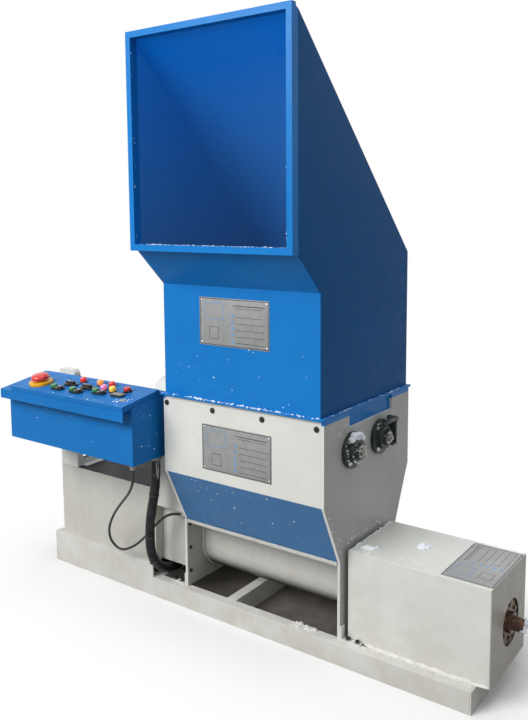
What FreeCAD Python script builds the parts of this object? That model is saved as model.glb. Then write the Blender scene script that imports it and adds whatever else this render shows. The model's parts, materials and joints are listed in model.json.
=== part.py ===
import FreeCAD, Part
import math
import os
from FreeCAD import Vector

# Foam hot melting machine: a ladder base carries two side plates with the crushing chamber,
# a tall feed hopper on top, the melting barrel on the right and the drive on the left.
# +X runs along the base towards the nozzle, +Y to the back, +Z up. Millimetres.
# The origin is on the floor under the middle cross member of the base.

# Base frame of channel steel
base_length = 1760.0
base_width = 420.0
rail_height = 70.0
rail_flange = 38.0
rail_wall = 5.0
cross_member_places = (-340.0, 0.0, 480.0)
bed_height = 52.0
bed_right = -338.0

# Side plates and the body between them
body_left = -187.0
body_inner_width = 620.0
plate_thickness = 10.0
body_half_depth = 283.0
leg_half_depth = 187.0
knee_height = 525.0
plate_top = 793.0
sheet = 3.0
notch_front = -132.0
notch_back = 153.0
notch_bottom = 742.0
slot_cover_bottom = 555.0
slot_cover_margin = 60.0

# Hopper
hopper_base = 800.0
flange_lip = 12.0
flange_depth = 7.0
crease_height = 1172.0
mouth_front = -432.0
mouth_bottom = 1288.0
mouth_top = 1961.0
mouth_bar = 20.0
mouth_bar_depth = 30.0
rear_knee_height = 1268.0

# Rotors and their bearing units
front_rotor_y = -124.0
rear_rotor_y = 60.0
rotor_height = 670.0
journal_diameter = 25.0
shaft_diameter = 45.0
hub_diameter = 70.0
blade_tip_radius = 112.0
blade_root_radius = 78.0
blade_thickness = 16.0
blade_pitch = 70.0
blade_count = 8
blade_teeth = 4
first_blade = 27.0
hub_end_gap = 12.0
journal_shoulder = 2.0
bearing_diameter = 115.0
bearing_flange = 13.0
bearing_boss_diameter = 77.0
bearing_depth = 30.0
bearing_bolt_circle = 96.0
bearing_bolt_diameter = 8.0
bearing_bolt_clearance = 0.5
bearing_bolt_head_radius = 7.5
bearing_bolt_head_height = 5.5
insert_diameter = 50.0
insert_depth = 40.0
shaft_stickout = 46.0
running_clearance = 0.05
plate_shaft_clearance = 8.0

# Melting barrel, its trough and its cover
barrel_height = 196.0
barrel_diameter = 133.0
barrel_wall = 10.0
trough_diameter = 196.0
trough_wall = 8.0
trough_rise = 129.0
trough_collar_width = 9.0
trough_collar_length = 10.0
trough_flange_width = 12.0
trough_flange_margin = 5.0
trough_end_margin = 20.0
cover_left = 459.0
cover_right = 917.0
cover_front = -165.0
cover_back = 128.0
cover_rise = 164.0
cover_drop = 8.0
barrel_window_clearance = 3.0
head_flange_thickness = 18.0
head_flange_setback = 6.0
nozzle_collar_diameter = 64.0
nozzle_collar_length = 14.0
nozzle_diameter = 42.0
nozzle_bore = 26.0
nozzle_length = 48.0

# Drive housing, guard and post on the left
drive_left = -852.0
drive_half_depth = 189.0
drive_top = 404.0
post_width = 94.0
post_depth = 30.0
post_top = 797.0
post_corner_radius = 24.0
stay_width = 20.0
stay_height = 26.0
stay_length = 109.0
stay_wall = 4.0
guard_width = 141.0
guard_front = -186.0
guard_back = 140.0
guard_bottom = 340.0
guard_top = 812.0
guard_corner_radius = 62.0
coupling_half_depth = 150.0
pedestal_half_depth = 100.0

# Control box with a sloping lid
box_overhang = 22.0
box_gap = 30.0
box_front = -406.0
box_back = -236.0
box_bottom = 564.0
box_wall = 2.0
visor_reach = 41.0
visor_lip = 34.0
rim_front_height = 757.0
rim_tilt = 8.7
lid_left_inset = 62.0
lid_right_inset = 2.0
lid_front_v = 2.0
lid_back_v = 182.0
lid_height = 17.0
lid_gap = 0.4
hinge_knuckle_radius = 6.0
hinge_pin_radius = 3.0
hinge_length = 24.0
hinge_inset = 90.0

# Emergency stop and the rows of switches: share of the lid's length, then millimetres up the lid
estop_place = (0.168, 66.0)
estop_ring_diameter = 86.0
estop_ring_height = 11.0
estop_neck_diameter = 36.0
estop_head_diameter = 66.0
estop_head_height = 20.0
estop_travel = 6.0
estop_bore_depth = 20.0
double_switch_places = ((0.360, 48.0), (0.525, 50.0), (0.686, 72.0))
selector_places = ((0.391, 96.0), (0.549, 92.0))
lamp_places = ((0.427, 138.0), (0.576, 140.0), (0.676, 142.0), (0.669, 105.0), (0.743, 106.0))
single_button_place = (0.840, 122.0)
blank_bezel_place = (0.830, 80.0)
switch_bezel_length = 62.0
switch_bezel_width = 30.0
bezel_height = 7.0
lamp_bezel_height = 4.0
cap_diameter = 24.0
cap_height = 10.0
cap_travel = 3.0
cap_stop_gap = 0.5
cap_clearance = 0.4
lamp_height = 19.0
lock_place = (0.923, 50.0)
lock_radius = 11.0

# Brackets of the control box and of the side plates
bracket_inset = 12.0
bracket_lift = 20.0
bracket_height = 150.0
bracket_wall = 6.0
guard_bracket_width = 8.0
guard_bracket_height = 100.0
guard_bracket_reach = 60.0
foot_length = 70.0
foot_depth = 20.0
foot_height = 46.0
foot_wall = 6.0

# Wiring, as points chosen by hand
loop_diameter = 9.0
loop_route = (
    (-258.0, -377.0, 540.0),
    (-258.0, -377.0, 500.0),
    (-289.0, -361.0, 455.0),
    (-345.0, -338.0, 405.0),
    (-408.0, -312.0, 352.0),
    (-462.0, -290.0, 296.0),
    (-498.0, -274.0, 240.0),
    (-502.0, -262.0, 190.0),
    (-462.0, -252.0, 158.0),
    (-408.0, -244.0, 180.0),
    (-360.0, -236.0, 220.0),
    (-320.0, -226.0, 268.0),
    (-288.0, -204.0, 310.0),
    (-250.0, -182.0, 328.0),
    (-213.0, -182.0, 328.0),
)
conduit_diameter = 34.0
conduit_route = (
    (-262.0, -262.0, 546.0),
    (-262.0, -262.0, 455.0),
    (-300.0, -260.0, 310.0),
    (-300.0, -260.0, 193.0),
    (-299.0, -225.0, 133.0),
    (-298.0, -165.0, 98.0),
    (-298.0, -100.0, 98.0),
)
gland_diameter = 20.0
conduit_socket_diameter = 42.0
conduit_socket_length = 12.0

body_right = body_left + body_inner_width
plate_left_outer = body_left - plate_thickness
plate_right_outer = body_right + plate_thickness
half_width = base_width / 2.0
half_length = base_length / 2.0
slope_drop = sheet * math.sqrt(2.0)
box_left = drive_left - box_overhang
box_right = plate_left_outer - box_gap
box_length = box_right - box_left
trough_flange_top = barrel_height + trough_rise
leg_top = trough_flange_top
cover_top = barrel_height + cover_rise


def box(x0, x1, y0, y1, z0, z1):
    return Part.makeBox(x1 - x0, y1 - y0, z1 - z0, Vector(x0, y0, z0))


def rod_x(radius, x0, x1, y, z):
    return Part.makeCylinder(radius, x1 - x0, Vector(x0, y, z), Vector(1, 0, 0))


def rod_y(radius, x, y0, y1, z):
    return Part.makeCylinder(radius, y1 - y0, Vector(x, y0, z), Vector(0, 1, 0))


def rod_z(radius, x, y, z0, z1):
    return Part.makeCylinder(radius, z1 - z0, Vector(x, y, z0), Vector(0, 0, 1))


def profile_x(points, x0, x1):
    """Extrude an outline given as (y, z) along X."""
    outline = Part.makePolygon([Vector(x0, y, z) for y, z in points] + [Vector(x0, *points[0])])
    return Part.Face(outline).extrude(Vector(x1 - x0, 0, 0))


def profile_y(points, y0, y1):
    """Extrude an outline given as (x, z) along Y."""
    outline = Part.makePolygon([Vector(x, y0, z) for x, z in points] + [Vector(points[0][0], y0, points[0][1])])
    return Part.Face(outline).extrude(Vector(0, y1 - y0, 0))


def fuse(first, *others):
    return first.multiFuse(list(others)).removeSplitter()


def mirror_y(shape):
    return shape.mirror(Vector(0, 0, 0), Vector(0, 1, 0))


def save(name, *solids):
    shape = solids[0] if len(solids) == 1 else Part.makeCompound(list(solids))
    if len(shape.Solids) == 1:
        shape = shape.Solids[0]
    if not shape.isValid():
        print("not valid:", name)
    shape.exportStep(os.path.join("parts", name + ".step"))


def channel_rail():
    """Front rail: channel with its web outside and its flanges inwards."""
    inner = -half_width + rail_flange
    web = -half_width + rail_wall
    points = (
        (-half_width, 0), (inner, 0), (inner, rail_wall), (web, rail_wall),
        (web, rail_height - rail_wall), (inner, rail_height - rail_wall), (inner, rail_height), (-half_width, rail_height),
    )
    return profile_x(points, -half_length + rail_wall, half_length - rail_wall)


def end_member(side):
    """Channel across the end: its web covers the rail ends, its flanges fit between the rails."""
    outer = side * half_length
    web = sorted((outer, outer - side * rail_wall))
    flange = sorted((outer - side * rail_wall, outer - side * rail_flange))
    reach = half_width - rail_flange
    return fuse(
        box(*web, -half_width, half_width, 0, rail_height),
        box(*flange, -reach, reach, 0, rail_wall),
        box(*flange, -reach, reach, rail_height - rail_wall, rail_height),
    )


def cross_member(middle):
    """Coped channel between the rails, with its web on the right."""
    right = middle + rail_flange / 2.0
    left = middle - rail_flange / 2.0
    reach = half_width - rail_flange
    web_reach = half_width - rail_wall
    return fuse(
        box(right - rail_wall, right, -web_reach, web_reach, rail_wall, rail_height - rail_wall),
        box(left, right, -reach, reach, 0, rail_wall),
        box(left, right, -reach, reach, rail_height - rail_wall, rail_height),
    )


def bed_channel():
    """Channel laid on the front rail under the drive housing."""
    inner = -half_width + rail_flange
    web = -half_width + rail_wall
    low = rail_height
    high = rail_height + bed_height
    points = (
        (-half_width, low), (inner, low), (inner, low + rail_wall), (web, low + rail_wall),
        (web, high - rail_wall), (inner, high - rail_wall), (inner, high), (-half_width, high),
    )
    return profile_x(points, -half_length, bed_right)


def side_plate(x0):
    """Side plate: straight sides, sloping knees, a leg on the rails and a notch for the shafts."""
    outline = (
        (-body_half_depth, plate_top), (-body_half_depth, knee_height), (-leg_half_depth, leg_top),
        (-leg_half_depth, rail_height), (leg_half_depth, rail_height), (leg_half_depth, leg_top),
        (body_half_depth, knee_height), (body_half_depth, plate_top),
        (notch_back, plate_top), (notch_back, notch_bottom), (notch_front, notch_bottom), (notch_front, plate_top),
    )
    plate = profile_x(outline, x0, x0 + plate_thickness)
    hole = shaft_diameter / 2.0 + plate_shaft_clearance
    for y in (front_rotor_y, rear_rotor_y):
        plate = plate.cut(rod_x(hole, x0 - 1, x0 + plate_thickness + 1, y, rotor_height))
    return plate


def right_side_plate():
    """The right plate also lets the melting barrel through."""
    bore = rod_x(barrel_diameter / 2.0, body_right - 1, plate_right_outer + 1, 0, barrel_height)
    return side_plate(body_right).cut(bore)


def slot_cover(x0):
    """Plate inside the chamber that closes the notch around the shafts."""
    cover = box(x0, x0 + sheet, notch_front - slot_cover_margin, notch_back + slot_cover_margin,
                slot_cover_bottom, hopper_base - flange_depth)
    hole = shaft_diameter / 2.0 + plate_shaft_clearance
    for y in (front_rotor_y, rear_rotor_y):
        cover = cover.cut(rod_x(hole, x0 - 1, x0 + sheet + 1, y, rotor_height))
    return cover


def folded_front(z_low, z_high, return_depth=25.0):
    """Flat panel between the side plates with folded side returns."""
    y0 = -body_half_depth
    panel = box(body_left, body_right, y0, y0 + sheet, z_low, z_high)
    left = box(body_left, body_left + sheet, y0, y0 + return_depth, z_low, z_high)
    right = box(body_right - sheet, body_right, y0, y0 + return_depth, z_low, z_high)
    return fuse(panel, left, right)


def sloping_panel():
    """Lower panel that narrows the chamber towards the screw."""
    points = (
        (-body_half_depth, knee_height), (-leg_half_depth, trough_flange_top),
        (-leg_half_depth + sheet, trough_flange_top), (-body_half_depth + sheet, knee_height),
    )
    return profile_x(points, body_left, body_right)


def trough_flange():
    """Rectangular flange between the chamber and the trough."""
    low = trough_flange_top - trough_flange_width
    reach = leg_half_depth + trough_flange_margin
    mouth = trough_diameter / 2.0 - trough_wall
    x0, x1 = body_left + trough_end_margin, body_right - trough_end_margin
    plate = box(body_left, body_right, -reach, reach, low, trough_flange_top)
    return plate.cut(box(x0, x1, -mouth, mouth, low - 1, trough_flange_top + 1))


def trough():
    """U-shaped trough: half a pipe with straight sides up to the flange, and a collar at each end."""
    def channel(radius, x0, x1, top):
        return fuse(rod_x(radius, x0, x1, 0, barrel_height), box(x0, x1, -radius, radius, barrel_height, top))
    outer = trough_diameter / 2.0
    inner = outer - trough_wall
    top = trough_flange_top - trough_flange_width
    collar = outer + trough_collar_width
    shell = fuse(
        channel(outer, body_left, body_right, top),
        channel(collar, body_left, body_left + trough_collar_length, top),
        channel(collar, body_right - trough_collar_length, body_right, top),
    )
    return shell.cut(channel(inner, body_left - 1, body_right + 1, top + 1))


def barrel():
    outer = barrel_diameter / 2.0
    end = cover_right - head_flange_setback - head_flange_thickness
    pipe = rod_x(outer, body_right, end, 0, barrel_height)
    return pipe.cut(rod_x(outer - barrel_wall, body_right - 1, end + 1, 0, barrel_height))


def head_flange():
    start = cover_right - head_flange_setback - head_flange_thickness
    disc = rod_x(barrel_diameter / 2.0, start, start + head_flange_thickness, 0, barrel_height)
    return disc.cut(rod_x(nozzle_bore / 2.0, start - 1, start + head_flange_thickness + 1, 0, barrel_height))


def nozzle():
    """Outlet tube with a collar against the head flange."""
    start = cover_right - head_flange_setback
    tube = fuse(
        rod_x(nozzle_collar_diameter / 2.0, start, start + nozzle_collar_length, 0, barrel_height),
        rod_x(nozzle_diameter / 2.0, start, start + nozzle_length, 0, barrel_height),
    )
    return tube.cut(rod_x(nozzle_bore / 2.0, start - 1, start + nozzle_length + 1, 0, barrel_height))


def heater_cover():
    """One sheet folded over the barrel: front, top and back."""
    outer = (
        (cover_front, rail_height), (cover_front, cover_top), (cover_back, cover_top), (cover_back, rail_height),
        (cover_back - sheet, rail_height), (cover_back - sheet, cover_top - sheet),
        (cover_front + sheet, cover_top - sheet), (cover_front + sheet, rail_height),
    )
    return profile_x(outer, cover_left, cover_right - sheet)


def heater_end_plate():
    x0 = cover_right - sheet
    plate = box(x0, cover_right, cover_front, cover_back, rail_height - cover_drop, cover_top)
    window = barrel_diameter / 2.0 + barrel_window_clearance
    return plate.cut(rod_x(window, x0 - 1, cover_right + 1, 0, barrel_height))


def heater_inner_plate():
    plate = box(cover_left, cover_left + sheet, cover_front + sheet, cover_back - sheet, rail_height, cover_top - sheet)
    return plate.cut(rod_x(barrel_diameter / 2.0, cover_left - 1, cover_left + sheet + 1, 0, barrel_height))


def slope_height(y):
    """Height of the outside of the rear slope at a given depth."""
    rise = mouth_top - sheet - rear_knee_height
    run = body_half_depth - (mouth_front + mouth_bar)
    return rear_knee_height + (body_half_depth - y) * rise / run


def hopper_outline():
    """Outer (y, z) outline of the hopper seen from its side."""
    frame_back = mouth_front + mouth_bar_depth
    return (
        (frame_back, mouth_bottom), (-body_half_depth, crease_height), (-body_half_depth, hopper_base),
        (body_half_depth, hopper_base), (body_half_depth, rear_knee_height), (frame_back, slope_height(frame_back)),
    )


def hopper_wall(x0):
    return profile_x(hopper_outline(), x0, x0 + sheet)


def hopper_front_panel():
    """Lower front sheet with the throat folded forward to the mouth."""
    y0 = -body_half_depth
    fold = sheet * math.tan(math.radians(22.5))
    points = (
        (y0, hopper_base), (y0, crease_height), (mouth_front + mouth_bar_depth, mouth_bottom),
        (mouth_front + mouth_bar_depth + sheet, mouth_bottom), (y0 + sheet, crease_height + fold), (y0 + sheet, hopper_base),
    )
    return profile_x(points, body_left + sheet, body_right - sheet)


def hopper_rear_panel():
    """Rear sheet folded into the slope that closes the hopper up to the mouth."""
    y0 = body_half_depth
    fold = sheet * math.tan(math.radians(22.5))
    top_y = mouth_front + mouth_bar
    points = (
        (y0, hopper_base), (y0, rear_knee_height), (top_y, slope_height(top_y)),
        (top_y, slope_height(top_y) - slope_drop), (y0 - sheet, rear_knee_height - fold), (y0 - sheet, hopper_base),
    )
    return profile_x(points, body_left + sheet, body_right - sheet)


def mouth_frame():
    """Square frame of flat bar around the feed mouth."""
    x0, x1 = body_left, body_right
    y0, y1 = mouth_front, mouth_front + mouth_bar_depth
    outer = box(x0, x1, y0, y1, mouth_bottom, mouth_top)
    inner = box(x0 + mouth_bar, x1 - mouth_bar, y0 - 1, y1 + 1, mouth_bottom + mouth_bar, mouth_top - mouth_bar)
    frame = outer.cut(inner)
    y2 = y0 + mouth_bar
    seat = profile_x(
        ((y2, mouth_top + 1), (y1 + 1, mouth_top + 1), (y1 + 1, slope_height(y1 + 1) - slope_drop), (y2, slope_height(y2) - slope_drop)),
        x0 - 1, x1 + 1,
    )
    return frame.cut(seat)


def hopper_flange():
    """Flange ring that joins the hopper to the body."""
    low = hopper_base - flange_depth
    lip = flange_lip
    outer = box(body_left - lip, body_right + lip, -body_half_depth - lip, body_half_depth + lip, low, hopper_base)
    inner = box(body_left + sheet, body_right - sheet, -body_half_depth + sheet, body_half_depth - sheet, low - 1, hopper_base + 1)
    return outer.cut(inner)


def blade(x, turn):
    """Hooked cutting disc: each tooth rises steeply and falls back in a straight flank."""
    points = []
    step = 2.0 * math.pi / blade_teeth
    for tooth in range(blade_teeth):
        start = turn + tooth * step
        for share, radius in ((0.0, blade_root_radius), (0.02, blade_tip_radius), (0.16, blade_tip_radius - 4.0), (0.55, blade_root_radius)):
            angle = start + share * step
            points.append((radius * math.cos(angle), radius * math.sin(angle)))
    return profile_x(points, x, x + blade_thickness)


def rotor_shaft(y):
    """Stepped shaft with the hub sleeve that carries the discs."""
    left_end = plate_left_outer - shaft_stickout
    right_end = plate_right_outer + shaft_stickout
    shoulder = journal_shoulder
    shaft = fuse(
        rod_x(journal_diameter / 2.0, left_end, right_end, 0, 0),
        rod_x(shaft_diameter / 2.0, plate_left_outer + shoulder, plate_right_outer - shoulder, 0, 0),
        rod_x(hub_diameter / 2.0, body_left + hub_end_gap, body_right - hub_end_gap, 0, 0),
    )
    shaft.translate(Vector(0, y, rotor_height))
    return shaft


def rotor_blades(y, offset):
    """Row of hooked discs on the hub, each turned a little further than the one before."""
    discs = []
    for place in range(blade_count):
        x = body_left + offset + place * blade_pitch
        disc = blade(x, place * math.pi / (2.0 * blade_teeth))
        disc = disc.cut(rod_x(hub_diameter / 2.0, x - 1, x + blade_thickness + 1, 0, 0))
        disc.translate(Vector(0, y, rotor_height))
        discs.append(disc)
    return discs


def bearing_unit(plate_face, outward, y):
    """Round flanged bearing unit with its insert, bored for the journal and for four bolts."""
    shape = fuse(
        rod_x(bearing_diameter / 2.0, 0, bearing_flange, 0, 0),
        rod_x(bearing_boss_diameter / 2.0, 0, bearing_depth, 0, 0),
        rod_x(insert_diameter / 2.0, 0, insert_depth, 0, 0),
    )
    shape = shape.cut(rod_x(journal_diameter / 2.0 + running_clearance, -1, insert_depth + 1, 0, 0))
    for bolt_y, bolt_z in bolt_circle():
        hole = bearing_bolt_diameter / 2.0 + bearing_bolt_clearance
        shape = shape.cut(rod_x(hole, -1, bearing_flange + 1, bolt_y, bolt_z))
    return seat_on_plate(shape, plate_face, outward, y)


def bolt_circle():
    """Places of the four bolts around the journal."""
    offset = bearing_bolt_circle / 2.0 * math.sqrt(0.5)
    return [(sy * offset, sz * offset) for sy in (-1, 1) for sz in (-1, 1)]


def bearing_bolts(plate_face, outward, y):
    """Hexagon bolts through the flange of one bearing unit."""
    bolts = []
    top = bearing_flange + bearing_bolt_head_height
    for bolt_y, bolt_z in bolt_circle():
        corners = [math.radians(30 + 60 * k) for k in range(6)]
        r = bearing_bolt_head_radius
        head = profile_x([(bolt_y + r * math.cos(a), bolt_z + r * math.sin(a)) for a in corners], bearing_flange, top)
        shank = rod_x(bearing_bolt_diameter / 2.0, 0, top, bolt_y, bolt_z)
        bolts.append(seat_on_plate(fuse(head, shank), plate_face, outward, y))
    return bolts


def seat_on_plate(shape, plate_face, outward, y):
    if outward < 0:
        shape = shape.mirror(Vector(0, 0, 0), Vector(1, 0, 0))
    shape.translate(Vector(plate_face, y, rotor_height))
    return shape


def drive_cover_front():
    low = rail_height + bed_height
    return fuse(
        box(drive_left, bed_right, -drive_half_depth, -drive_half_depth + sheet, low, drive_top),
        box(drive_left, bed_right, -drive_half_depth, -drive_half_depth + 24.0, low, low + sheet),
    )


def drive_cover_shell():
    """Left side, top and right side of the housing, folded from one sheet."""
    low = rail_height + bed_height + sheet
    right = bed_right - sheet
    points = (
        (drive_left, low), (drive_left, drive_top), (bed_right, drive_top), (bed_right, low),
        (right, low), (right, drive_top - sheet), (drive_left + sheet, drive_top - sheet), (drive_left + sheet, low),
    )
    return profile_y(points, -drive_half_depth + sheet, drive_half_depth - sheet)


def control_post():
    """Hollow post with rounded top corners that holds the control box."""
    x0, x1 = drive_left, drive_left + post_width
    y0, y1 = -drive_half_depth, -drive_half_depth + post_depth
    r = post_corner_radius
    low = drive_top
    body = fuse(
        box(x0, x1, y0, y1, low, post_top - r),
        box(x0 + r, x1 - r, y0, y1, post_top - r, post_top),
        Part.makeCylinder(r, post_depth, Vector(x0 + r, y0, post_top - r), Vector(0, 1, 0)),
        Part.makeCylinder(r, post_depth, Vector(x1 - r, y0, post_top - r), Vector(0, 1, 0)),
    )
    hollow = box(x0 + sheet, x1 - sheet, y0 + sheet, y1 - sheet, low - 1, post_top - r)
    return body.cut(hollow)


def post_stay():
    """Angle bar on the housing top that ties the post to the back."""
    x0, y0 = drive_left + post_width, -drive_half_depth + post_depth
    return fuse(
        box(x0 - stay_wall, x0 + stay_width, y0, y0 + stay_length, drive_top, drive_top + stay_wall),
        box(x0 - stay_wall, x0, y0, y0 + stay_length, drive_top, drive_top + stay_height),
    )


def drive_guard():
    """Pan over the shaft ends: closed outside face, rounded top corners, open to the side plate."""
    def pan(inset, x0, x1):
        y0, y1 = guard_front + inset, guard_back - inset
        r = guard_corner_radius - inset
        low, high = guard_bottom + inset, guard_top - inset
        return fuse(
            box(x0, x1, y0, y1, low, high - r),
            box(x0, x1, y0 + r, y1 - r, high - r, high),
            rod_x(r, x0, x1, y0 + r, high - r),
            rod_x(r, x0, x1, y1 - r, high - r),
        )
    outer_face = plate_left_outer - guard_width
    shell = pan(0.0, outer_face, plate_left_outer)
    notch_room = box(plate_left_outer - flange_lip - 1.0, plate_left_outer + 1, guard_front - 1, guard_back + 1,
                     hopper_base - flange_depth - 1.0, guard_top + 1)
    return shell.cut(pan(sheet, outer_face + sheet, plate_left_outer + 1)).cut(notch_room)


def coupling_cover():
    """Folded cover between the drive housing and the left side plate."""
    low = rail_height + bed_height
    high = guard_bottom - 5.0
    half = coupling_half_depth
    points = (
        (-half, low), (-half, high), (half, high), (half, low),
        (half - sheet, low), (half - sheet, high - sheet), (-half + sheet, high - sheet), (-half + sheet, low),
    )
    return profile_x(points, bed_right, plate_left_outer)


def coupling_pedestal():
    return box(bed_right + 8.0, plate_left_outer, -pedestal_half_depth, pedestal_half_depth, rail_height, rail_height + bed_height)


def on_rim(shape):
    """Put a shape from rim coordinates (u along X, v up the slope, w out of it) onto the control box."""
    shape.rotate(Vector(0, 0, 0), Vector(1, 0, 0), rim_tilt)
    shape.translate(Vector(box_left, box_front - visor_reach, rim_front_height))
    return shape


def rim_height(y):
    return rim_front_height + (y - (box_front - visor_reach)) * math.tan(math.radians(rim_tilt))


def control_box():
    """Wedge-shaped tray with a visor along its front edge."""
    x0, x1 = box_left, box_left + box_length
    wall = box_wall
    wedge = profile_x(
        ((box_front, box_bottom), (box_front, rim_height(box_front)), (box_back, rim_height(box_back)), (box_back, box_bottom)), x0, x1,
    )
    hollow = profile_x(
        ((box_front + wall, box_bottom + wall), (box_front + wall, rim_height(box_front) + 30.0),
         (box_back - wall, rim_height(box_back) + 30.0), (box_back - wall, box_bottom + wall)), x0 + wall, x1 - wall,
    )
    y0 = box_front - visor_reach
    visor = profile_x(
        ((y0, rim_front_height), (y0, rim_front_height - visor_lip), (y0 + wall, rim_front_height - visor_lip),
         (y0 + wall, rim_height(y0 + wall) - wall), (box_front + wall, rim_height(box_front + wall) - wall),
         (box_front + wall, rim_height(box_front + wall))), x0, x1,
    )
    deck_front = box_front - visor_reach + (lid_back_v - 12.0) * math.cos(math.radians(rim_tilt))
    deck = profile_x(
        ((deck_front, rim_height(deck_front)), (box_back, rim_height(box_back)), (box_back, rim_height(box_back) - wall),
         (deck_front, rim_height(deck_front) - wall)), x0, x1,
    )
    left_strip = profile_x(
        ((box_front, rim_height(box_front)), (box_back, rim_height(box_back)), (box_back, rim_height(box_back) - wall),
         (box_front, rim_height(box_front) - wall)), x0, x0 + lid_left_inset + 14.0,
    )
    return fuse(wedge.cut(hollow), visor, deck, left_strip)


def lid_u_range():
    return lid_left_inset, box_length - lid_right_inset


def on_lid(place):
    """Rim coordinates of a place given as a share of the lid's length and a distance up it."""
    u0, u1 = lid_u_range()
    return u0 + place[0] * (u1 - u0), place[1]


def control_lid():
    """Pan-shaped lid with holes for the switches, and a knuckle near each end of its back edge."""
    u0, u1 = lid_u_range()
    v0, v1 = lid_front_v, lid_back_v
    low, high = lid_gap, lid_gap + lid_height
    pan = box(u0, u1, v0, v1, low, high)
    pan = pan.cut(box(u0 + box_wall, u1 - box_wall, v0 + box_wall, v1 - box_wall, low - 1, high - box_wall))
    pan = pan.cut(rod_z(estop_neck_diameter / 2.0 + 1.0, *on_lid(estop_place), low - 1, high + 1))
    for u in hinge_places():
        knuckle = hinge_barrel(u, u + hinge_length)
        ear = box(u, u + hinge_length, v1 - box_wall, v1 + hinge_knuckle_radius, hinge_w() - 2.0, hinge_w() + 2.0)
        bore = hinge_cylinder(hinge_pin_radius + running_clearance, u - 1, u + hinge_length + 1)
        pan = fuse(pan, knuckle, ear).cut(bore)
    return on_rim(pan)


def hinge_w():
    return lid_gap + hinge_knuckle_radius + 1.0


def hinge_v():
    return lid_back_v + hinge_knuckle_radius + 1.0


def hinge_places():
    u0, u1 = lid_u_range()
    return u0 + hinge_inset, u1 - hinge_inset - hinge_length


def hinge_cylinder(radius, u0, u1):
    return rod_x(radius, u0, u1, hinge_v(), hinge_w())


def hinge_barrel(u0, u1):
    return hinge_cylinder(hinge_knuckle_radius, u0, u1)


def lid_hinges():
    """Fixed halves: two knuckles and a pin for each lid knuckle, standing on the box's rear deck."""
    solids = []
    gap = 0.5
    for u in hinge_places():
        pieces = [hinge_cylinder(hinge_pin_radius, u - gap - hinge_length / 2.0, u + hinge_length * 1.5 + gap)]
        for start in (u - gap - hinge_length / 2.0, u + hinge_length + gap):
            end = start + hinge_length / 2.0
            foot_v = hinge_v() - hinge_knuckle_radius
            pieces.append(hinge_barrel(start, end))
            pieces.append(box(start, end, foot_v, foot_v + 2.0 * hinge_knuckle_radius, 0, hinge_w()))
        solids.append(on_rim(fuse(*pieces)))
    return solids


def estop_ring():
    u, v = on_lid(estop_place)
    w0 = lid_gap + lid_height
    ring = rod_z(estop_ring_diameter / 2.0, u, v, w0, w0 + estop_ring_height)
    collar = rod_z(estop_neck_diameter / 2.0 + 5.0, u, v, w0, w0 + estop_ring_height + 4.0)
    bore = rod_z(estop_neck_diameter / 2.0 + 0.5, u, v, w0 - 1, w0 + estop_ring_height + 5.0)
    return on_rim(fuse(ring, collar).cut(bore))


def estop_head():
    """Mushroom head on its plunger, with room to go down."""
    u, v = on_lid(estop_place)
    w0 = lid_gap + lid_height + estop_ring_height + 4.0 + estop_travel + 1.0
    r = estop_head_diameter / 2.0
    rim = estop_head_height * 0.45
    dome_radius = (r * r + (estop_head_height - rim) ** 2) / (2.0 * (estop_head_height - rim))
    dome = Part.makeSphere(dome_radius, Vector(u, v, w0 + estop_head_height - dome_radius))
    dome = dome.common(rod_z(r, u, v, w0 + rim, w0 + estop_head_height + 1))
    head = fuse(rod_z(r, u, v, w0, w0 + rim), dome)
    neck = rod_z(estop_neck_diameter / 2.0, u, v, w0 - estop_bore_depth, w0 + 1.0)
    return on_rim(fuse(head, neck))


def oval_bezel(u, v, height=bezel_height):
    """Oblong switch bezel lying along the lid."""
    w0 = lid_gap + lid_height
    r = switch_bezel_width / 2.0
    half = switch_bezel_length / 2.0 - r
    return fuse(
        rod_z(r, u - half, v, w0, w0 + height),
        rod_z(r, u + half, v, w0, w0 + height),
        box(u - half, u + half, v - r, v + r, w0, w0 + height),
    )


def cap_bore(u, v):
    w0 = lid_gap + lid_height
    return rod_z(cap_diameter / 2.0 + cap_clearance, u, v, w0 - 1, w0 + bezel_height + 1)


def push_cap(u, v):
    """Push button cap, guided by its bezel and free to go down by its travel."""
    low = lid_gap + lid_height + cap_travel + cap_stop_gap
    top = lid_gap + lid_height + bezel_height + cap_height
    crown = Part.makeCone(cap_diameter / 2.0, cap_diameter / 2.0 - 1.5, 1.5, Vector(u, v, top - 1.5), Vector(0, 0, 1))
    return on_rim(fuse(rod_z(cap_diameter / 2.0, u, v, low, top - 1.5), crown))


def cap_offset():
    return switch_bezel_length / 2.0 - switch_bezel_width / 2.0


def switch_bezels():
    """Oblong bezels with a fixed dark cap each, a blank one, and the round one of the single button."""
    w0 = lid_gap + lid_height
    offset = cap_offset()
    bezels = []
    for u, v in map(on_lid, double_switch_places):
        fixed_cap = rod_z(cap_diameter / 2.0 - 1.0, u + offset, v, w0 + 1.0, w0 + bezel_height + cap_height * 0.6)
        bezels.append(on_rim(fuse(oval_bezel(u, v).cut(cap_bore(u - offset, v)), fixed_cap)))
    u, v = on_lid(single_button_place)
    round_bezel = rod_z(cap_diameter / 2.0 + 4.0, u, v, w0, w0 + bezel_height).cut(cap_bore(u, v))
    return bezels + [on_rim(oval_bezel(*on_lid(blank_bezel_place))), on_rim(round_bezel)]


def selector_switch(u, v):
    """Selector: oval bezel with a raised handle across it."""
    w0 = lid_gap + lid_height + bezel_height
    handle = box(u - 20.0, u + 20.0, v - 5.0, v + 5.0, w0, w0 + 9.0)
    return on_rim(fuse(oval_bezel(u, v), rod_z(13.0, u, v, w0, w0 + 4.0), handle))


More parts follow.
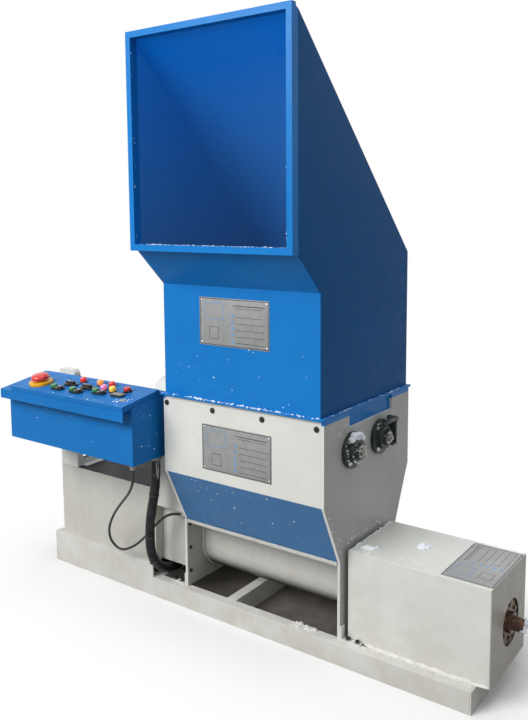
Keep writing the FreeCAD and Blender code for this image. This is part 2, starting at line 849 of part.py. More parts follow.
def lamp(u, v):
    """Round indicator lamp: bezel ring with a domed lens."""
    w0 = lid_gap + lid_height
    r = cap_diameter / 2.0
    lens_top = w0 + lamp_height
    lens = rod_z(r, u, v, w0, lens_top - 5.0)
    dome = Part.makeSphere(r * 1.25, Vector(u, v, lens_top - r * 1.25)).common(rod_z(r, u, v, lens_top - 5.0, lens_top + 1))
    return on_rim(fuse(rod_z(r + 3.0, u, v, w0, w0 + lamp_bezel_height), lens, dome))


def lid_lock():
    w0 = lid_gap + lid_height
    u, v = on_lid(lock_place)
    body = rod_z(lock_radius, u, v, w0, w0 + 3.0)
    return on_rim(body.cut(box(u - 1.5, u + 1.5, v - 5.0, v + 5.0, w0 + 1.0, w0 + 4.0)))


def box_brackets():
    """Channel between the box and the post, and a plate from the box to the guard."""
    x0, x1 = drive_left + bracket_inset, drive_left + post_width - bracket_inset
    y0, y1 = box_back, -drive_half_depth
    low = box_bottom + bracket_lift
    high = low + bracket_height
    wall = bracket_wall
    channel = box(x0, x1, y0, y1, low, high).cut(box(x0 + wall, x1 - wall, y0 + wall, y1 - wall, low - 1, high + 1))
    guard_face = plate_left_outer - guard_width
    plate = box(guard_face - guard_bracket_width, guard_face, box_back, guard_front + guard_bracket_reach,
                low, low + guard_bracket_height)
    return channel, plate


def foot_bracket(side_x, direction):
    """Angle bracket that bolts a plate leg to the rail."""
    flange = sorted((side_x, side_x + direction * foot_length))
    upright = sorted((side_x, side_x + direction * foot_wall))
    y0, y1 = -leg_half_depth, -leg_half_depth + foot_depth
    return fuse(
        box(*flange, y0, y1, rail_height, rail_height + foot_wall),
        box(*upright, y0, y1, rail_height, rail_height + foot_height),
    )


def tube_route(points, diameter, label):
    """Round tube along straight runs joined by tangent arcs, each as large as its runs allow."""
    nodes = [Vector(*p) for p in points]
    edges = []
    start = nodes[0]
    radii = []
    for before, corner, after in zip(nodes, nodes[1:], nodes[2:]):
        back = (before - corner)
        ahead = (after - corner)
        shorter = min(back.Length, ahead.Length)
        back.normalize()
        ahead.normalize()
        turn = math.pi - back.getAngle(ahead)
        radius = 0.45 * shorter / math.tan(turn / 2.0)
        reach = 0.45 * shorter
        radii.append(radius)
        first = corner + back * reach
        last = corner + ahead * reach
        middle_direction = (back + ahead)
        middle_direction.normalize()
        centre_distance = radius / math.cos(turn / 2.0)
        middle = corner + middle_direction * (centre_distance - radius)
        edges.append(Part.LineSegment(start, first).toShape())
        edges.append(Part.Arc(first, middle, last).toShape())
        start = last
    edges.append(Part.LineSegment(start, nodes[-1]).toShape())
    path = Part.Wire(edges)
    direction = nodes[1] - nodes[0]
    circle = Part.Wire(Part.makeCircle(diameter / 2.0, nodes[0], direction))
    tube = path.makePipeShell([circle], True, False)
    ideal = math.pi * diameter * diameter / 4.0 * path.Length
    print(label, "length %.0f mm, smallest radius %.0f mm, volume ratio %.4f" % (path.Length, min(radii), tube.Volume / ideal))
    return tube


def gland_down(x, y, top, diameter, length):
    """Cable gland under a horizontal plate."""
    nut = rod_z(diameter / 2.0, x, y, top - length * 0.55, top)
    cone = Part.makeCone(diameter * 0.36, diameter / 2.0, length * 0.45, Vector(x, y, top - length), Vector(0, 0, 1))
    return fuse(nut, cone)


def build_base():
    front = channel_rail()
    save("base_front_rail", front)
    save("base_rear_rail", mirror_y(front))
    save("base_end_members", end_member(-1), end_member(1))
    save("base_cross_members", *[cross_member(x) for x in cross_member_places])
    bed = bed_channel()
    save("drive_bed_channels", bed, mirror_y(bed))


def build_body():
    save("left_side_plate", side_plate(plate_left_outer))
    save("right_side_plate", right_side_plate())
    save("shaft_slot_covers", slot_cover(body_left), slot_cover(body_right - sheet))
    front = folded_front(knee_height, hopper_base - flange_depth)
    save("body_front_panel", front)
    save("body_rear_panel", mirror_y(front))
    slope = sloping_panel()
    save("lower_front_panel", slope)
    save("lower_rear_panel", mirror_y(slope))
    save("trough_flange", trough_flange())
    save("screw_trough", trough())
    save("foot_brackets", foot_bracket(plate_right_outer, 1), mirror_y(foot_bracket(plate_right_outer, 1)),
         foot_bracket(plate_left_outer, -1), mirror_y(foot_bracket(plate_left_outer, -1)))


def build_melting_end():
    save("melt_barrel", barrel())
    save("head_flange", head_flange())
    save("nozzle", nozzle())
    save("heater_cover", heater_cover())
    save("heater_end_plate", heater_end_plate())
    save("heater_inner_plate", heater_inner_plate())


def build_hopper():
    save("hopper_left_wall", hopper_wall(body_left))
    save("hopper_right_wall", hopper_wall(body_right - sheet))
    save("hopper_front_panel", hopper_front_panel())
    save("hopper_rear_panel", hopper_rear_panel())
    save("mouth_frame", mouth_frame())
    save("hopper_flange", hopper_flange())


def build_rotors():
    save("front_rotor_shaft", rotor_shaft(front_rotor_y))
    save("rear_rotor_shaft", rotor_shaft(rear_rotor_y))
    save("front_rotor_blades", *rotor_blades(front_rotor_y, first_blade))
    save("rear_rotor_blades", *rotor_blades(rear_rotor_y, first_blade + blade_pitch / 2.0))
    save("bearing_right_front", bearing_unit(plate_right_outer, 1, front_rotor_y))
    save("bearing_right_rear", bearing_unit(plate_right_outer, 1, rear_rotor_y))
    save("left_bearings", *[bearing_unit(plate_left_outer, -1, y) for y in (front_rotor_y, rear_rotor_y)])
    bolts = []
    for y in (front_rotor_y, rear_rotor_y):
        bolts += bearing_bolts(plate_right_outer, 1, y) + bearing_bolts(plate_left_outer, -1, y)
    save("bearing_bolts", *bolts)


def build_drive():
    front = drive_cover_front()
    save("drive_cover_front", front)
    save("drive_cover_rear", mirror_y(front))
    save("drive_cover_shell", drive_cover_shell())
    save("control_post", control_post(), post_stay())
    save("drive_guard", drive_guard())
    save("coupling_cover", coupling_cover())
    save("coupling_pedestal", coupling_pedestal())


def build_controls():
    save("control_box", control_box())
    save("control_box_brackets", *box_brackets())
    save("control_lid", control_lid())
    save("lid_hinges", *lid_hinges())
    save("estop_ring", estop_ring())
    save("estop_head", estop_head())
    save("switch_bezels", *switch_bezels())
    for name, place in zip(("left", "middle", "right"), double_switch_places):
        u, v = on_lid(place)
        save("start_button_" + name, push_cap(u - cap_offset(), v))
    save("red_button", push_cap(*on_lid(single_button_place)))
    save("selector_switches", *[selector_switch(*on_lid(place)) for place in selector_places])
    save("indicator_lamps", *[lamp(*on_lid(place)) for place in lamp_places])
    save("lid_lock", lid_lock())


def build_wiring():
    x, y, z = loop_route[0]
    loop_gland = gland_down(x, y, box_bottom, gland_diameter, box_bottom - z)
    x, y, z = conduit_route[0]
    conduit_gland = gland_down(x, y, box_bottom, conduit_socket_diameter * 1.2, box_bottom - z)
    x, y, z = loop_route[-1]
    plate_gland = rod_x(gland_diameter / 2.0, x, plate_left_outer, y, z)
    x, y, z = conduit_route[-1]
    collar = rod_y(conduit_socket_diameter / 2.0, x, y - conduit_socket_length, y, z)
    collar = collar.cut(rod_y(conduit_diameter / 2.0, x, y - conduit_socket_length - 1, y + 1, z))
    save("cable_fittings", loop_gland, conduit_gland, plate_gland, collar)
    save("loop_cable", tube_route(loop_route, loop_diameter, "loop cable"))
    save("cable_conduit", tube_route(conduit_route, conduit_diameter, "conduit"))


os.makedirs("parts", exist_ok=True)
build_base()
build_body()
build_melting_end()
build_hopper()
build_rotors()
build_drive()
build_controls()
build_wiring()
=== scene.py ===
import json
import math
import random

import bmesh
import bpy
from mathutils import Matrix, Vector, noise
from mathutils.bvhtree import BVHTree

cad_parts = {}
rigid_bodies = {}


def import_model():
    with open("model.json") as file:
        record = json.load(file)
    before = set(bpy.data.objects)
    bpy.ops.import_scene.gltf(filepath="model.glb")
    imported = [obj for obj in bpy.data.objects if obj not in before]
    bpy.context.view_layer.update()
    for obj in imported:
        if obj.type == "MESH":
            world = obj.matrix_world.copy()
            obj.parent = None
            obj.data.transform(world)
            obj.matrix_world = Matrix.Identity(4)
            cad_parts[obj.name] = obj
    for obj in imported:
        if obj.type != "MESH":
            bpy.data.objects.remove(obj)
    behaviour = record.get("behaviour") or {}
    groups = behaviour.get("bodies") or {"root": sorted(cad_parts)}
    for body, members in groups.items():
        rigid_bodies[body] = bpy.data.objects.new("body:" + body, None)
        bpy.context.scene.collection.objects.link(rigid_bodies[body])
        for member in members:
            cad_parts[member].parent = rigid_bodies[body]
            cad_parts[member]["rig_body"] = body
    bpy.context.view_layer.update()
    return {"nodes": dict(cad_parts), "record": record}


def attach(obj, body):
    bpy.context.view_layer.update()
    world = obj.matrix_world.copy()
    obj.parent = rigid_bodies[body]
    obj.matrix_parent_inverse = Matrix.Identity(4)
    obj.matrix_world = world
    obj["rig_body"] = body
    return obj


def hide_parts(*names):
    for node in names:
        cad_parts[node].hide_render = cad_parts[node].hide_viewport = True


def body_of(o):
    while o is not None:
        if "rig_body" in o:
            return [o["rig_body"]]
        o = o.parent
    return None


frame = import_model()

# Sizes shared with the construction, in metres
PLATE_RIGHT = 0.443
BODY_FRONT = -0.283
ROTOR_Z = 0.670
FRONT_ROTOR_Y = -0.124
REAR_ROTOR_Y = 0.060
BARREL_Z = 0.196
HEAD_BOLT_RADIUS = 0.052
COVER_END = 0.917
COVER_TOP = 0.360
COVER_FRONT = -0.165
RAIL_TOP = 0.070
FOOT_THICKNESS = 0.006
BASE_END = 0.872
BASE_SIDE = 0.204
PLATE_BLUE_FROM = 0.7785
MOUTH_LOW = 1.25
MOUTH_HIGH = 1.92
LID_TOP = 0.0174
RIM_TILT = math.radians(8.7)
RIM = Matrix.Translation((-0.874, -0.447, 0.757)) @ Matrix.Rotation(RIM_TILT, 4, "X")
LID_START = 0.062
LID_LENGTH = 0.583
CAP_OFFSET = 0.016
DOUBLE_SWITCHES = ((0.360, 0.048), (0.525, 0.050), (0.686, 0.072))
SELECTORS = ((0.391, 0.096), (0.549, 0.092))
SINGLE_BUTTON = (0.840, 0.122)
BLANK_SWITCH = (0.830, 0.080)
ESTOP = (0.168, 0.066)
BEARING_INSERT = 0.040
SHAFT_STICKOUT = 0.046
LOOP_DIAMETER = 0.009
CONDUIT_DIAMETER = 0.034
TIE_SHARES = (0.16, 0.40, 0.62)
BODY_SCREW_PLACES = (-0.182, 0.018, 0.217, 0.417)
BODY_SCREW_Z = 0.766
FOOT_BOLT_PLACES = (0.468, 0.500, -0.222, -0.254)
FOOT_BOLT_Y = 0.177
SIDE_BOLT_X = -0.187
SIDE_BOLT_Y = 0.170
SIDE_BOLT_HEIGHTS = (0.124, 0.211, 0.298)

# The photo's camera, fitted from the corners of the machine
PHOTO_HEIGHT = 720.0
FOCAL_PIXELS = 790.9
SHIFT_PIXELS = -60.0
SENSOR = 36.0
EYE = (1.6317, -2.2218, 1.4091)
YAW, PITCH, ROLL = math.radians(35.9), math.radians(6.4), math.radians(-0.4)


# Colour and shader helpers

def screen(red, green, blue):
    """Linear colour for values as a screen shows them, 0 to 255."""
    def linear(value):
        value /= 255.0
        return value / 12.92 if value <= 0.04045 else ((value + 0.055) / 1.055) ** 2.4
    return (linear(red), linear(green), linear(blue), 1.0)


class Graph:
    """A material under construction."""

    def __init__(self, name):
        self.material = bpy.data.materials.new(name)
        self.material.use_nodes = True
        self.tree = self.material.node_tree
        self.shader = self.tree.nodes["Principled BSDF"]
        self.place = self.add("ShaderNodeTexCoord").outputs["Object"]

    def add(self, kind, **settings):
        node = self.tree.nodes.new(kind)
        for key, value in settings.items():
            setattr(node, key, value)
        return node

    def put(self, socket, value):
        """Link a socket to another, or set its value."""
        if isinstance(value, bpy.types.NodeSocket):
            self.tree.links.new(value, socket)
        else:
            socket.default_value = value

    def stretch(self, scale):
        """Object coordinates scaled along each axis."""
        node = self.add("ShaderNodeMapping")
        node.inputs["Scale"].default_value = scale
        self.put(node.inputs["Vector"], self.place)
        return node.outputs["Vector"]

    def noise(self, scale, detail=3.0, roughness=0.55, stretch=None):
        node = self.add("ShaderNodeTexNoise")
        self.put(node.inputs["Vector"], self.stretch(stretch) if stretch else self.place)
        node.inputs["Scale"].default_value = scale
        node.inputs["Detail"].default_value = detail
        node.inputs["Roughness"].default_value = roughness
        return node.outputs["Fac"]

    def dots(self, scale, radius):
        """1 inside small scattered dots, 0 outside."""
        node = self.add("ShaderNodeTexVoronoi")
        self.put(node.inputs["Vector"], self.place)
        node.inputs["Scale"].default_value = scale
        return self.spread(node.outputs["Distance"], radius, radius * 0.6, 0.0, 1.0)

    def spread(self, value, low, high, low_out=0.0, high_out=1.0):
        """Map a range on to another and hold it at the ends."""
        node = self.add("ShaderNodeMapRange")
        node.clamp = True
        self.put(node.inputs["Value"], value)
        ends = {"From Min": low, "From Max": high, "To Min": low_out, "To Max": high_out}
        for name, number in ends.items():
            node.inputs[name].default_value = number
        return node.outputs["Result"]

    def maths(self, operation, a, b=0.0, clamp=True):
        node = self.add("ShaderNodeMath", operation=operation)
        node.use_clamp = clamp
        self.put(node.inputs[0], a)
        self.put(node.inputs[1], b)
        return node.outputs[0]

    def mix(self, share, a, b):
        node = self.add("ShaderNodeMix", data_type="RGBA")
        self.put(node.inputs[0], share)
        self.put(node.inputs[6], a)
        self.put(node.inputs[7], b)
        return node.outputs[2]

    def axis(self, index):
        """One object coordinate in metres."""
        node = self.add("ShaderNodeSeparateXYZ")
        self.put(node.inputs[0], self.place)
        return node.outputs[index]

    def side(self, index):
        """How much a face looks along an axis, 0 to 1."""
        split = self.add("ShaderNodeSeparateXYZ")
        self.put(split.inputs[0], self.add("ShaderNodeNewGeometry").outputs["True Normal"])
        return self.maths("ABSOLUTE", split.outputs[index])

    def bump(self, height, strength, distance, below=None):
        node = self.add("ShaderNodeBump")
        node.inputs["Strength"].default_value = strength
        node.inputs["Distance"].default_value = distance
        self.put(node.inputs["Height"], height)
        if below is not None:
            self.put(node.inputs["Normal"], below)
        return node.outputs["Normal"]

    def done(self, colour, roughness, normal=None, metallic=0.0, coat=0.0, **more):
        """Set the shader and give the material back."""
        self.put(self.shader.inputs["Base Color"], colour)
        self.put(self.shader.inputs["Roughness"], roughness)
        self.shader.inputs["Metallic"].default_value = metallic
        self.shader.inputs["Coat Weight"].default_value = coat
        self.shader.inputs["Coat Roughness"].default_value = 0.12
        if normal is not None:
            self.put(self.shader.inputs["Normal"], normal)
        for name, value in more.items():
            self.shader.inputs[name.replace("_", " ")].default_value = value
        return self.material


DUST = screen(188, 180, 166)
FOAM = screen(244, 245, 246)


def tone(colour, factor):
    """A colour made lighter or darker."""
    return tuple(min(1.0, c * factor) for c in colour[:3]) + (1.0,)


def paint(name, colour, roughness=0.36, streaks=0.2, grime=0.5, foam=0.5, edge=None, band=None, top=None,
          under=None, gloss=0.2):
    """Sprayed enamel on sheet steel: uneven coat, runs, dust low down and stray foam dust.

    edge colours the faces that don't look along X, a painted highlight beside painted shade on the faces
    that do; band is a height and the colour above it; top colours the level faces and under the sloping and
    level ones, both as painted shade.
    """
    g = Graph(name)
    body = g.mix(g.spread(g.noise(2.6, 4.0), 0.35, 0.7), tone(colour, 0.93), tone(colour, 1.06))
    body = g.mix(g.spread(g.noise(17.0, 3.0), 0.4, 0.75, 0.0, 0.35), body, tone(colour, 0.86))
    runs = g.spread(g.noise(1.0, 4.0, 0.6, (26.0, 26.0, 1.6)), 0.52, 0.78, 0.0, streaks)
    body = g.mix(runs, body, tone(colour, 0.72))
    low = g.maths("MULTIPLY", g.spread(g.axis(2), 0.02, 0.34, grime, 0.0),
                  g.spread(g.noise(9.0, 5.0, 0.65), 0.38, 0.66))
    body = g.mix(low, body, DUST)
    if edge:
        body = g.mix(g.spread(g.side(0), 0.98, 0.6), body, edge)
    if band:
        body = g.mix(g.spread(g.axis(2), band[0], band[0] + 0.001), body, band[1])
    if top:
        body = g.mix(g.spread(g.side(2), 0.6, 0.9), body, top)
    if under:
        body = g.mix(g.spread(g.side(2), 0.3, 0.72), body, under)
    specks = g.maths("MULTIPLY", g.dots(150.0, 0.10), g.spread(g.noise(3.0, 2.0), 0.52, 0.6, 0.0, foam))
    body = g.mix(specks, body, FOAM)
    scratch = g.spread(g.noise(1.0, 2.0, 0.5, (9.0, 9.0, 240.0)), 0.7, 0.74, 0.0, 0.35)
    body = g.mix(g.maths("MULTIPLY", scratch, g.spread(g.noise(5.0), 0.55, 0.6)), body, tone(colour, 1.35))
    rough = g.spread(g.noise(21.0, 4.0), 0.3, 0.8, roughness - 0.06, roughness + 0.16)
    waves = g.bump(g.noise(3.2, 1.0), 0.25, 0.004)
    peel = g.bump(g.noise(520.0, 2.0), 0.10, 0.0006, waves)
    return g.done(body, rough, g.bump(specks, 0.5, 0.0008, peel), coat=gloss * 0.25,
                  Specular_IOR_Level=gloss)


def shaded_paint(name, low_colour, high_colour, lift=0.0):
    """Enamel inside the hopper, with painted shade that makes it greyer towards the bottom; lift paints
    light that makes its lower right paler.
    """
    g = Graph(name)
    height = g.spread(g.axis(2), MOUTH_LOW, MOUTH_HIGH)
    body = g.mix(height, low_colour, high_colour)
    if lift:
        share = g.maths("MULTIPLY", g.spread(g.axis(0), -0.3, 0.36, 0.15, 1.0),
                        g.spread(g.axis(2), 1.86, 1.38, 0.0, 1.0))
        body = g.mix(share, body, tone(low_colour, lift))
    body = g.mix(g.spread(g.noise(5.0, 4.0), 0.4, 0.75, 0.0, 0.12), body, tone(low_colour, 1.3))
    specks = g.maths("MULTIPLY", g.dots(150.0, 0.10), g.spread(g.noise(3.0, 2.0), 0.52, 0.6, 0.0, 0.25))
    body = g.mix(specks, body, FOAM)
    return g.done(body, 0.55, g.bump(g.noise(520.0, 2.0), 0.1, 0.0006), Specular_IOR_Level=0.1)


def bare_metal(name, colour, roughness=0.34, stain=None, stain_share=0.5):
    """Steel with a grain along X and stains."""
    g = Graph(name)
    grain = g.noise(4.0, 4.0, 0.6, (6.0, 90.0, 90.0))
    body = g.mix(g.spread(grain, 0.3, 0.7), tone(colour, 0.8), tone(colour, 1.12))
    if stain:
        body = g.mix(g.spread(g.noise(24.0, 5.0, 0.65), 0.42, 0.7, 0.0, stain_share), body, stain)
    rough = g.spread(g.noise(40.0, 3.0), 0.3, 0.8, roughness - 0.08, roughness + 0.2)
    return g.done(body, rough, g.bump(grain, 0.25, 0.0006), metallic=1.0)


def cast(name, colour, roughness=0.5):
    """Machine paint over a sand casting."""
    g = Graph(name)
    lumps = g.noise(160.0, 4.0, 0.6)
    body = g.mix(g.spread(lumps, 0.35, 0.7), tone(colour, 0.7), tone(colour, 1.3))
    body = g.mix(g.spread(g.noise(30.0, 4.0), 0.6, 0.72, 0.0, 0.4), body, tone(DUST, 0.5))
    return g.done(body, roughness, g.bump(lumps, 0.5, 0.0007))


def plastic(name, colour, roughness=0.3, grain=0.05, dirty=0.2, coat=0.2):
    """Moulded plastic with a fine grain and a little dust."""
    g = Graph(name)
    fine = g.noise(900.0, 2.0)
    body = g.mix(g.spread(g.noise(55.0, 4.0), 0.4, 0.75), colour, tone(colour, 0.82))
    body = g.mix(g.spread(g.noise(120.0, 3.0), 0.6, 0.72, 0.0, dirty), body, tone(DUST, 0.8))
    return g.done(body, g.spread(g.noise(80.0), 0.3, 0.8, roughness - 0.05, roughness + 0.12),
                  g.bump(fine, grain, 0.0003), coat=coat)


def lens(name, colour, glow=0.25):
    """Ribbed lamp lens: clear plastic with a faint painted glow for the light of its reflector."""
    g = Graph(name)
    ribs = g.noise(1.0, 1.0, 0.5, (900.0, 900.0, 900.0))
    body = g.mix(g.spread(g.noise(90.0, 2.0), 0.35, 0.7), tone(colour, 0.8), tone(colour, 1.15))
    return g.done(body, 0.14, g.bump(ribs, 0.15, 0.0003), coat=0.6,
                  Emission_Color=colour, Emission_Strength=glow)


def beads(name):
    """Expanded foam: pale lumps with a soft grain."""
    g = Graph(name)
    body = g.mix(g.noise(260.0, 3.0), screen(226, 232, 238), screen(246, 250, 254))
    return g.done(body, 0.85, g.bump(g.noise(600.0, 3.0), 0.5, 0.0006), Specular_IOR_Level=0.2)


def taped(name):
    """Black tape wound round a bundle of wires, which show pale where the bundle leaves the desk."""
    g = Graph(name)
    wraps = g.noise(1.0, 2.0, 0.5, (18.0, 18.0, 130.0))
    wires = g.spread(g.noise(1.0, 2.0, 0.5, (150.0, 150.0, 9.0)), 0.47, 0.52)
    bared = g.maths("MULTIPLY", g.spread(g.axis(2), 0.476, 0.492), wires)
    black = g.mix(g.spread(g.noise(34.0, 3.0), 0.45, 0.6), screen(10, 10, 11), screen(30, 30, 32))
    return g.done(g.mix(bared, black, screen(176, 178, 180)), 0.46, g.bump(wraps, 0.9, 0.004),
                  Specular_IOR_Level=0.25)


BLUE = screen(20, 116, 190)
# Blue darkened as painted shade, for the outer faces of the hopper's side walls
BLUE_PAINTED_SHADE = screen(16, 82, 140)
GREY = screen(214, 215, 209)
GREY_WARM = screen(194, 193, 186)
# Grey darkened as painted shade, for the faces of the side plates that look along X
GREY_PAINTED_SHADE = screen(176, 177, 174)

blue_paint = paint("blue_enamel", BLUE, 0.34, 0.14, 0.2, 0.35, gloss=0.12)
# The hopper's side walls are a darker blue outside as painted shade
blue_wall_painted_shade = paint("blue_enamel_painted_shade", BLUE_PAINTED_SHADE, 0.38, 0.18, 0.2, 0.35, gloss=0.05)
blue_box_paint = paint("blue_desk_enamel", screen(22, 108, 178), 0.34, 0.1, 0.0, 0.55, gloss=0.08)
blue_slope_paint = paint("blue_chamber_enamel", screen(68, 118, 168), 0.36, 0.25, 0.2, 0.7, gloss=0.12)
grey_paint = paint("grey_enamel", GREY, 0.38, 0.14, 0.6, 0.25)
base_paint = paint("grey_base_enamel", screen(211, 211, 206), 0.42, 0.25, 0.55, 0.5)
# The drive cover's level faces are painted dark as painted shade under the control desk
drive_paint = paint("grey_drive_enamel", GREY_WARM, 0.5, 0.3, 0.55, 0.3, top=screen(46, 45, 48), gloss=0.1)
# The trough's grey, darker than the body's, and its darker sloping and level faces are painted shade
trough_paint = paint("grey_trough_enamel", screen(194, 194, 189), 0.42, 0.3, 0.6, 0.4,
                     under=screen(62, 59, 53))
# Inside the hopper the blue is painted darker towards the bottom as painted shade; the slope's lower right
# is painted paler as painted light
mouth_paint = shaded_paint("hopper_inside", screen(32, 68, 112), screen(8, 78, 150))
slope_paint = shaded_paint("hopper_slope_inside", screen(32, 71, 118), screen(0, 76, 152), 2.45)
# The side plates' faces that look along X take a darker grey as painted shade, their other faces a lighter
# grey as painted highlight
plate_paint = paint("grey_plate_enamel", GREY_PAINTED_SHADE, 0.38, 0.3, 0.4, 0.3,
                    edge=screen(214, 214, 210), band=(PLATE_BLUE_FROM, BLUE))
# The heater end plate takes a darker grey as painted shade
end_painted_shade = paint("grey_end_enamel_painted_shade", screen(162, 159, 150), 0.38, 0.2, 0.4, 0.3)
flange_metal = bare_metal("ground_flange", screen(196, 196, 192), 0.38, tone(DUST, 0.7))
worked_metal = bare_metal("machined_steel", screen(150, 150, 148), 0.34, screen(96, 84, 70), 0.45)
bright_metal = bare_metal("bright_steel", screen(205, 206, 208), 0.22)
zinc_metal = bare_metal("zinc_plate", screen(186, 188, 186), 0.36, screen(120, 116, 104), 0.4)
hot_metal = bare_metal("heated_steel", screen(104, 84, 70), 0.42, screen(54, 42, 36), 0.8)
barrel_metal = bare_metal("barrel_steel", screen(116, 108, 98), 0.46, screen(70, 56, 46), 0.7)
plate_metal = plastic("plate_aluminium", screen(142, 143, 142), 0.42, 0.1, 0.3, 0.1)
dark_cast = cast("dark_green_casting", screen(30, 42, 40))
black_steel = cast("black_oxide", screen(26, 26, 28), 0.42)
black_plastic = plastic("black_moulding", screen(24, 26, 26), 0.36)
fitting_plastic = plastic("gland_moulding", screen(150, 148, 144), 0.4)
rubber = plastic("cable_rubber", screen(12, 12, 13), 0.5, 0.12, 0.12, 0.0)
green_plastic = plastic("green_cap", screen(12, 118, 62), 0.24, 0.03, 0.1, 0.5)
red_plastic = plastic("red_cap", screen(204, 28, 24), 0.26, 0.03, 0.1, 0.4)
yellow_plastic = plastic("yellow_ring", screen(232, 168, 20), 0.34)
white_plastic = plastic("white_insert", screen(226, 228, 232), 0.3)
red_lens = lens("red_lens", screen(214, 34, 22))
orange_lens = lens("orange_lens", screen(246, 152, 70), 0.35)
pink_lens = lens("pink_lens", screen(226, 120, 172), 0.3)
yellow_lens = lens("yellow_lens", screen(236, 188, 48), 0.3)
ink = plastic("engraved_line", screen(44, 46, 50), 0.5, 0.02, 0.1, 0.0)
pale_ink = plastic("engraved_field", screen(92, 150, 204), 0.5, 0.02, 0.1, 0.0)
tape = taped("taped_bundle")
foam_white = beads("foam_crumbs")
foam_dust = plastic("foam_dust", screen(220, 219, 213), 0.85, 0.5, 0.1, 0.0)


# Mesh helpers

def link(name, mesh, body, slot, *materials):
    """Put a mesh in the scene, riding on a body of the frame."""
    piece = bpy.data.objects.new(name, mesh)
    bpy.context.scene.collection.objects.link(piece)
    for material in materials:
        mesh.materials.append(material)
    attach(piece, body)
    return piece


def made(name, work, body, slot, *materials, smooth=35.0):
    """Turn a bmesh into a piece, smooth apart from edges sharper than the angle."""
    bmesh.ops.recalc_face_normals(work, faces=work.faces)
    mesh = bpy.data.meshes.new(name)
    work.to_mesh(mesh)
    work.free()
    mesh.shade_smooth()
    mesh.set_sharp_from_angle(angle=math.radians(smooth))
    return link(name, mesh, body, slot, *materials)


def aim(point, direction, spin=0.0):
    """Matrix that stands local Z along a direction at a point."""
    turn = Vector(direction).to_track_quat("Z", "Y").to_matrix().to_4x4()
    return Matrix.Translation(point) @ turn @ Matrix.Rotation(spin, 4, "Z")


def turned(work, profile, place, segments=32, index=0):
    """Add a turned form: a profile of (radius, height) from one end to the other."""
    rings = []
    for radius, height in profile:
        steps = [2.0 * math.pi * k / segments for k in range(segments)] if radius > 0.0 else [0.0]
        ring = [Vector((radius * math.cos(a), radius * math.sin(a), height)) for a in steps]
        rings.append([work.verts.new(place @ corner) for corner in ring])
    for low, high in zip(rings, rings[1:]):
        for k in range(segments):
            n = (k + 1) % segments
            if len(low) == 1:
                corners = (low[0], high[n], high[k])
            elif len(high) == 1:
                corners = (low[k], low[n], high[0])
            else:
                corners = (low[k], low[n], high[n], high[k])
            work.faces.new(corners).material_index = index
    for ring in (rings[0], rings[-1]):
        if len(ring) > 2:
            work.faces.new(ring).material_index = index


def slab(work, size, place, round_by=0.0008, index=0, segments=2):
    """Add a block with rounded edges."""
    before = set(work.faces)
    block = bmesh.ops.create_cube(work, size=1.0, matrix=place @ Matrix.Diagonal((*size, 1.0)))
    edges = list({e for v in block["verts"] for e in v.link_edges})
    bmesh.ops.bevel(work, geom=edges, offset=round_by, segments=segments, affect="EDGES", profile=0.5)
    for face in set(work.faces) - before:
        face.material_index = index


def soften(material, width, *nodes):
    """Show rounded copies of CAD nodes in their place; the last copy is given back."""
    for node in nodes:
        piece = rounded(node, material, width)
        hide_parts(node)
    return piece


def rounded(node, material, width):
    """Copy of a CAD node with its edges rounded."""
    source = frame["nodes"][node]
    work = bmesh.new()
    work.from_mesh(source.data)
    bmesh.ops.transform(work, matrix=source.matrix_world, verts=work.verts)
    bmesh.ops.remove_doubles(work, verts=work.verts, dist=1e-5)
    bmesh.ops.dissolve_limit(work, angle_limit=math.radians(0.4), verts=work.verts, edges=work.edges)
    body = body_of(source)[0]
    slot = next(p["material_slot"] for p in frame["record"]["subparts"] if p["node"] == node)
    piece = made(node + "_rounded", work, body, slot, material, smooth=30.0)
    edges = piece.modifiers.new("edges", "BEVEL")
    edges.width = width
    edges.segments = 2
    edges.limit_method = "ANGLE"
    edges.angle_limit = math.radians(32.0)
    edges.harden_normals = True
    return piece


def face_material(piece, material, test):
    """Give another material to the faces whose outward direction passes a test."""
    piece.data.materials.append(material)
    index = len(piece.data.materials) - 1
    for polygon in piece.data.polygons:
        if test(polygon.normal):
            polygon.material_index = index


def facing(x_axis, y_axis, origin):
    """Matrix with local X and Y along two directions and local Z out of them."""
    x, y = Vector(x_axis).normalized(), Vector(y_axis).normalized()
    basis = Matrix((x, y, x.cross(y))).transposed().to_4x4()
    return Matrix.Translation(origin) @ basis


def dress(material, *nodes):
    """Give CAD nodes that stay as they are a material."""
    for node in nodes:
        mesh = frame["nodes"][node].data
        mesh.materials.clear()
        mesh.materials.append(material)


# Cords

def smooth_line(name, points):
    """Curve drawn by given control points, with no thickness."""
    curve = bpy.data.curves.new(name, "CURVE")
    curve.dimensions = "3D"
    curve.resolution_u = 12
    spline = curve.splines.new("NURBS")
    spline.points.add(len(points) - 1)
    for control, point in zip(spline.points, points):
        control.co = (*point, 1.0)
    spline.order_u = 3
    spline.use_endpoint_u = True
    return curve


def cord(name, node, points, diameter, material):
    """Free cable that hangs between two places on the machine."""
    curve = smooth_line(name, points)
    curve.bevel_depth = diameter / 2.0
    curve.bevel_resolution = 6
    curve.use_fill_caps = True
    curve.materials.append(material)
    piece = bpy.data.objects.new(name, curve)
    bpy.context.scene.collection.objects.link(piece)
    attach(piece, "root")
    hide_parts(node)


def route(points):
    """Points along the smooth line of a cord."""
    curve = smooth_line("route", points)
    bare = bpy.data.objects.new("route", curve)
    mesh = bpy.data.meshes.new_from_object(bare)
    line = [v.co.copy() for v in mesh.vertices]
    bpy.data.objects.remove(bare)
    bpy.data.curves.remove(curve)
    bpy.data.meshes.remove(mesh)
    return line


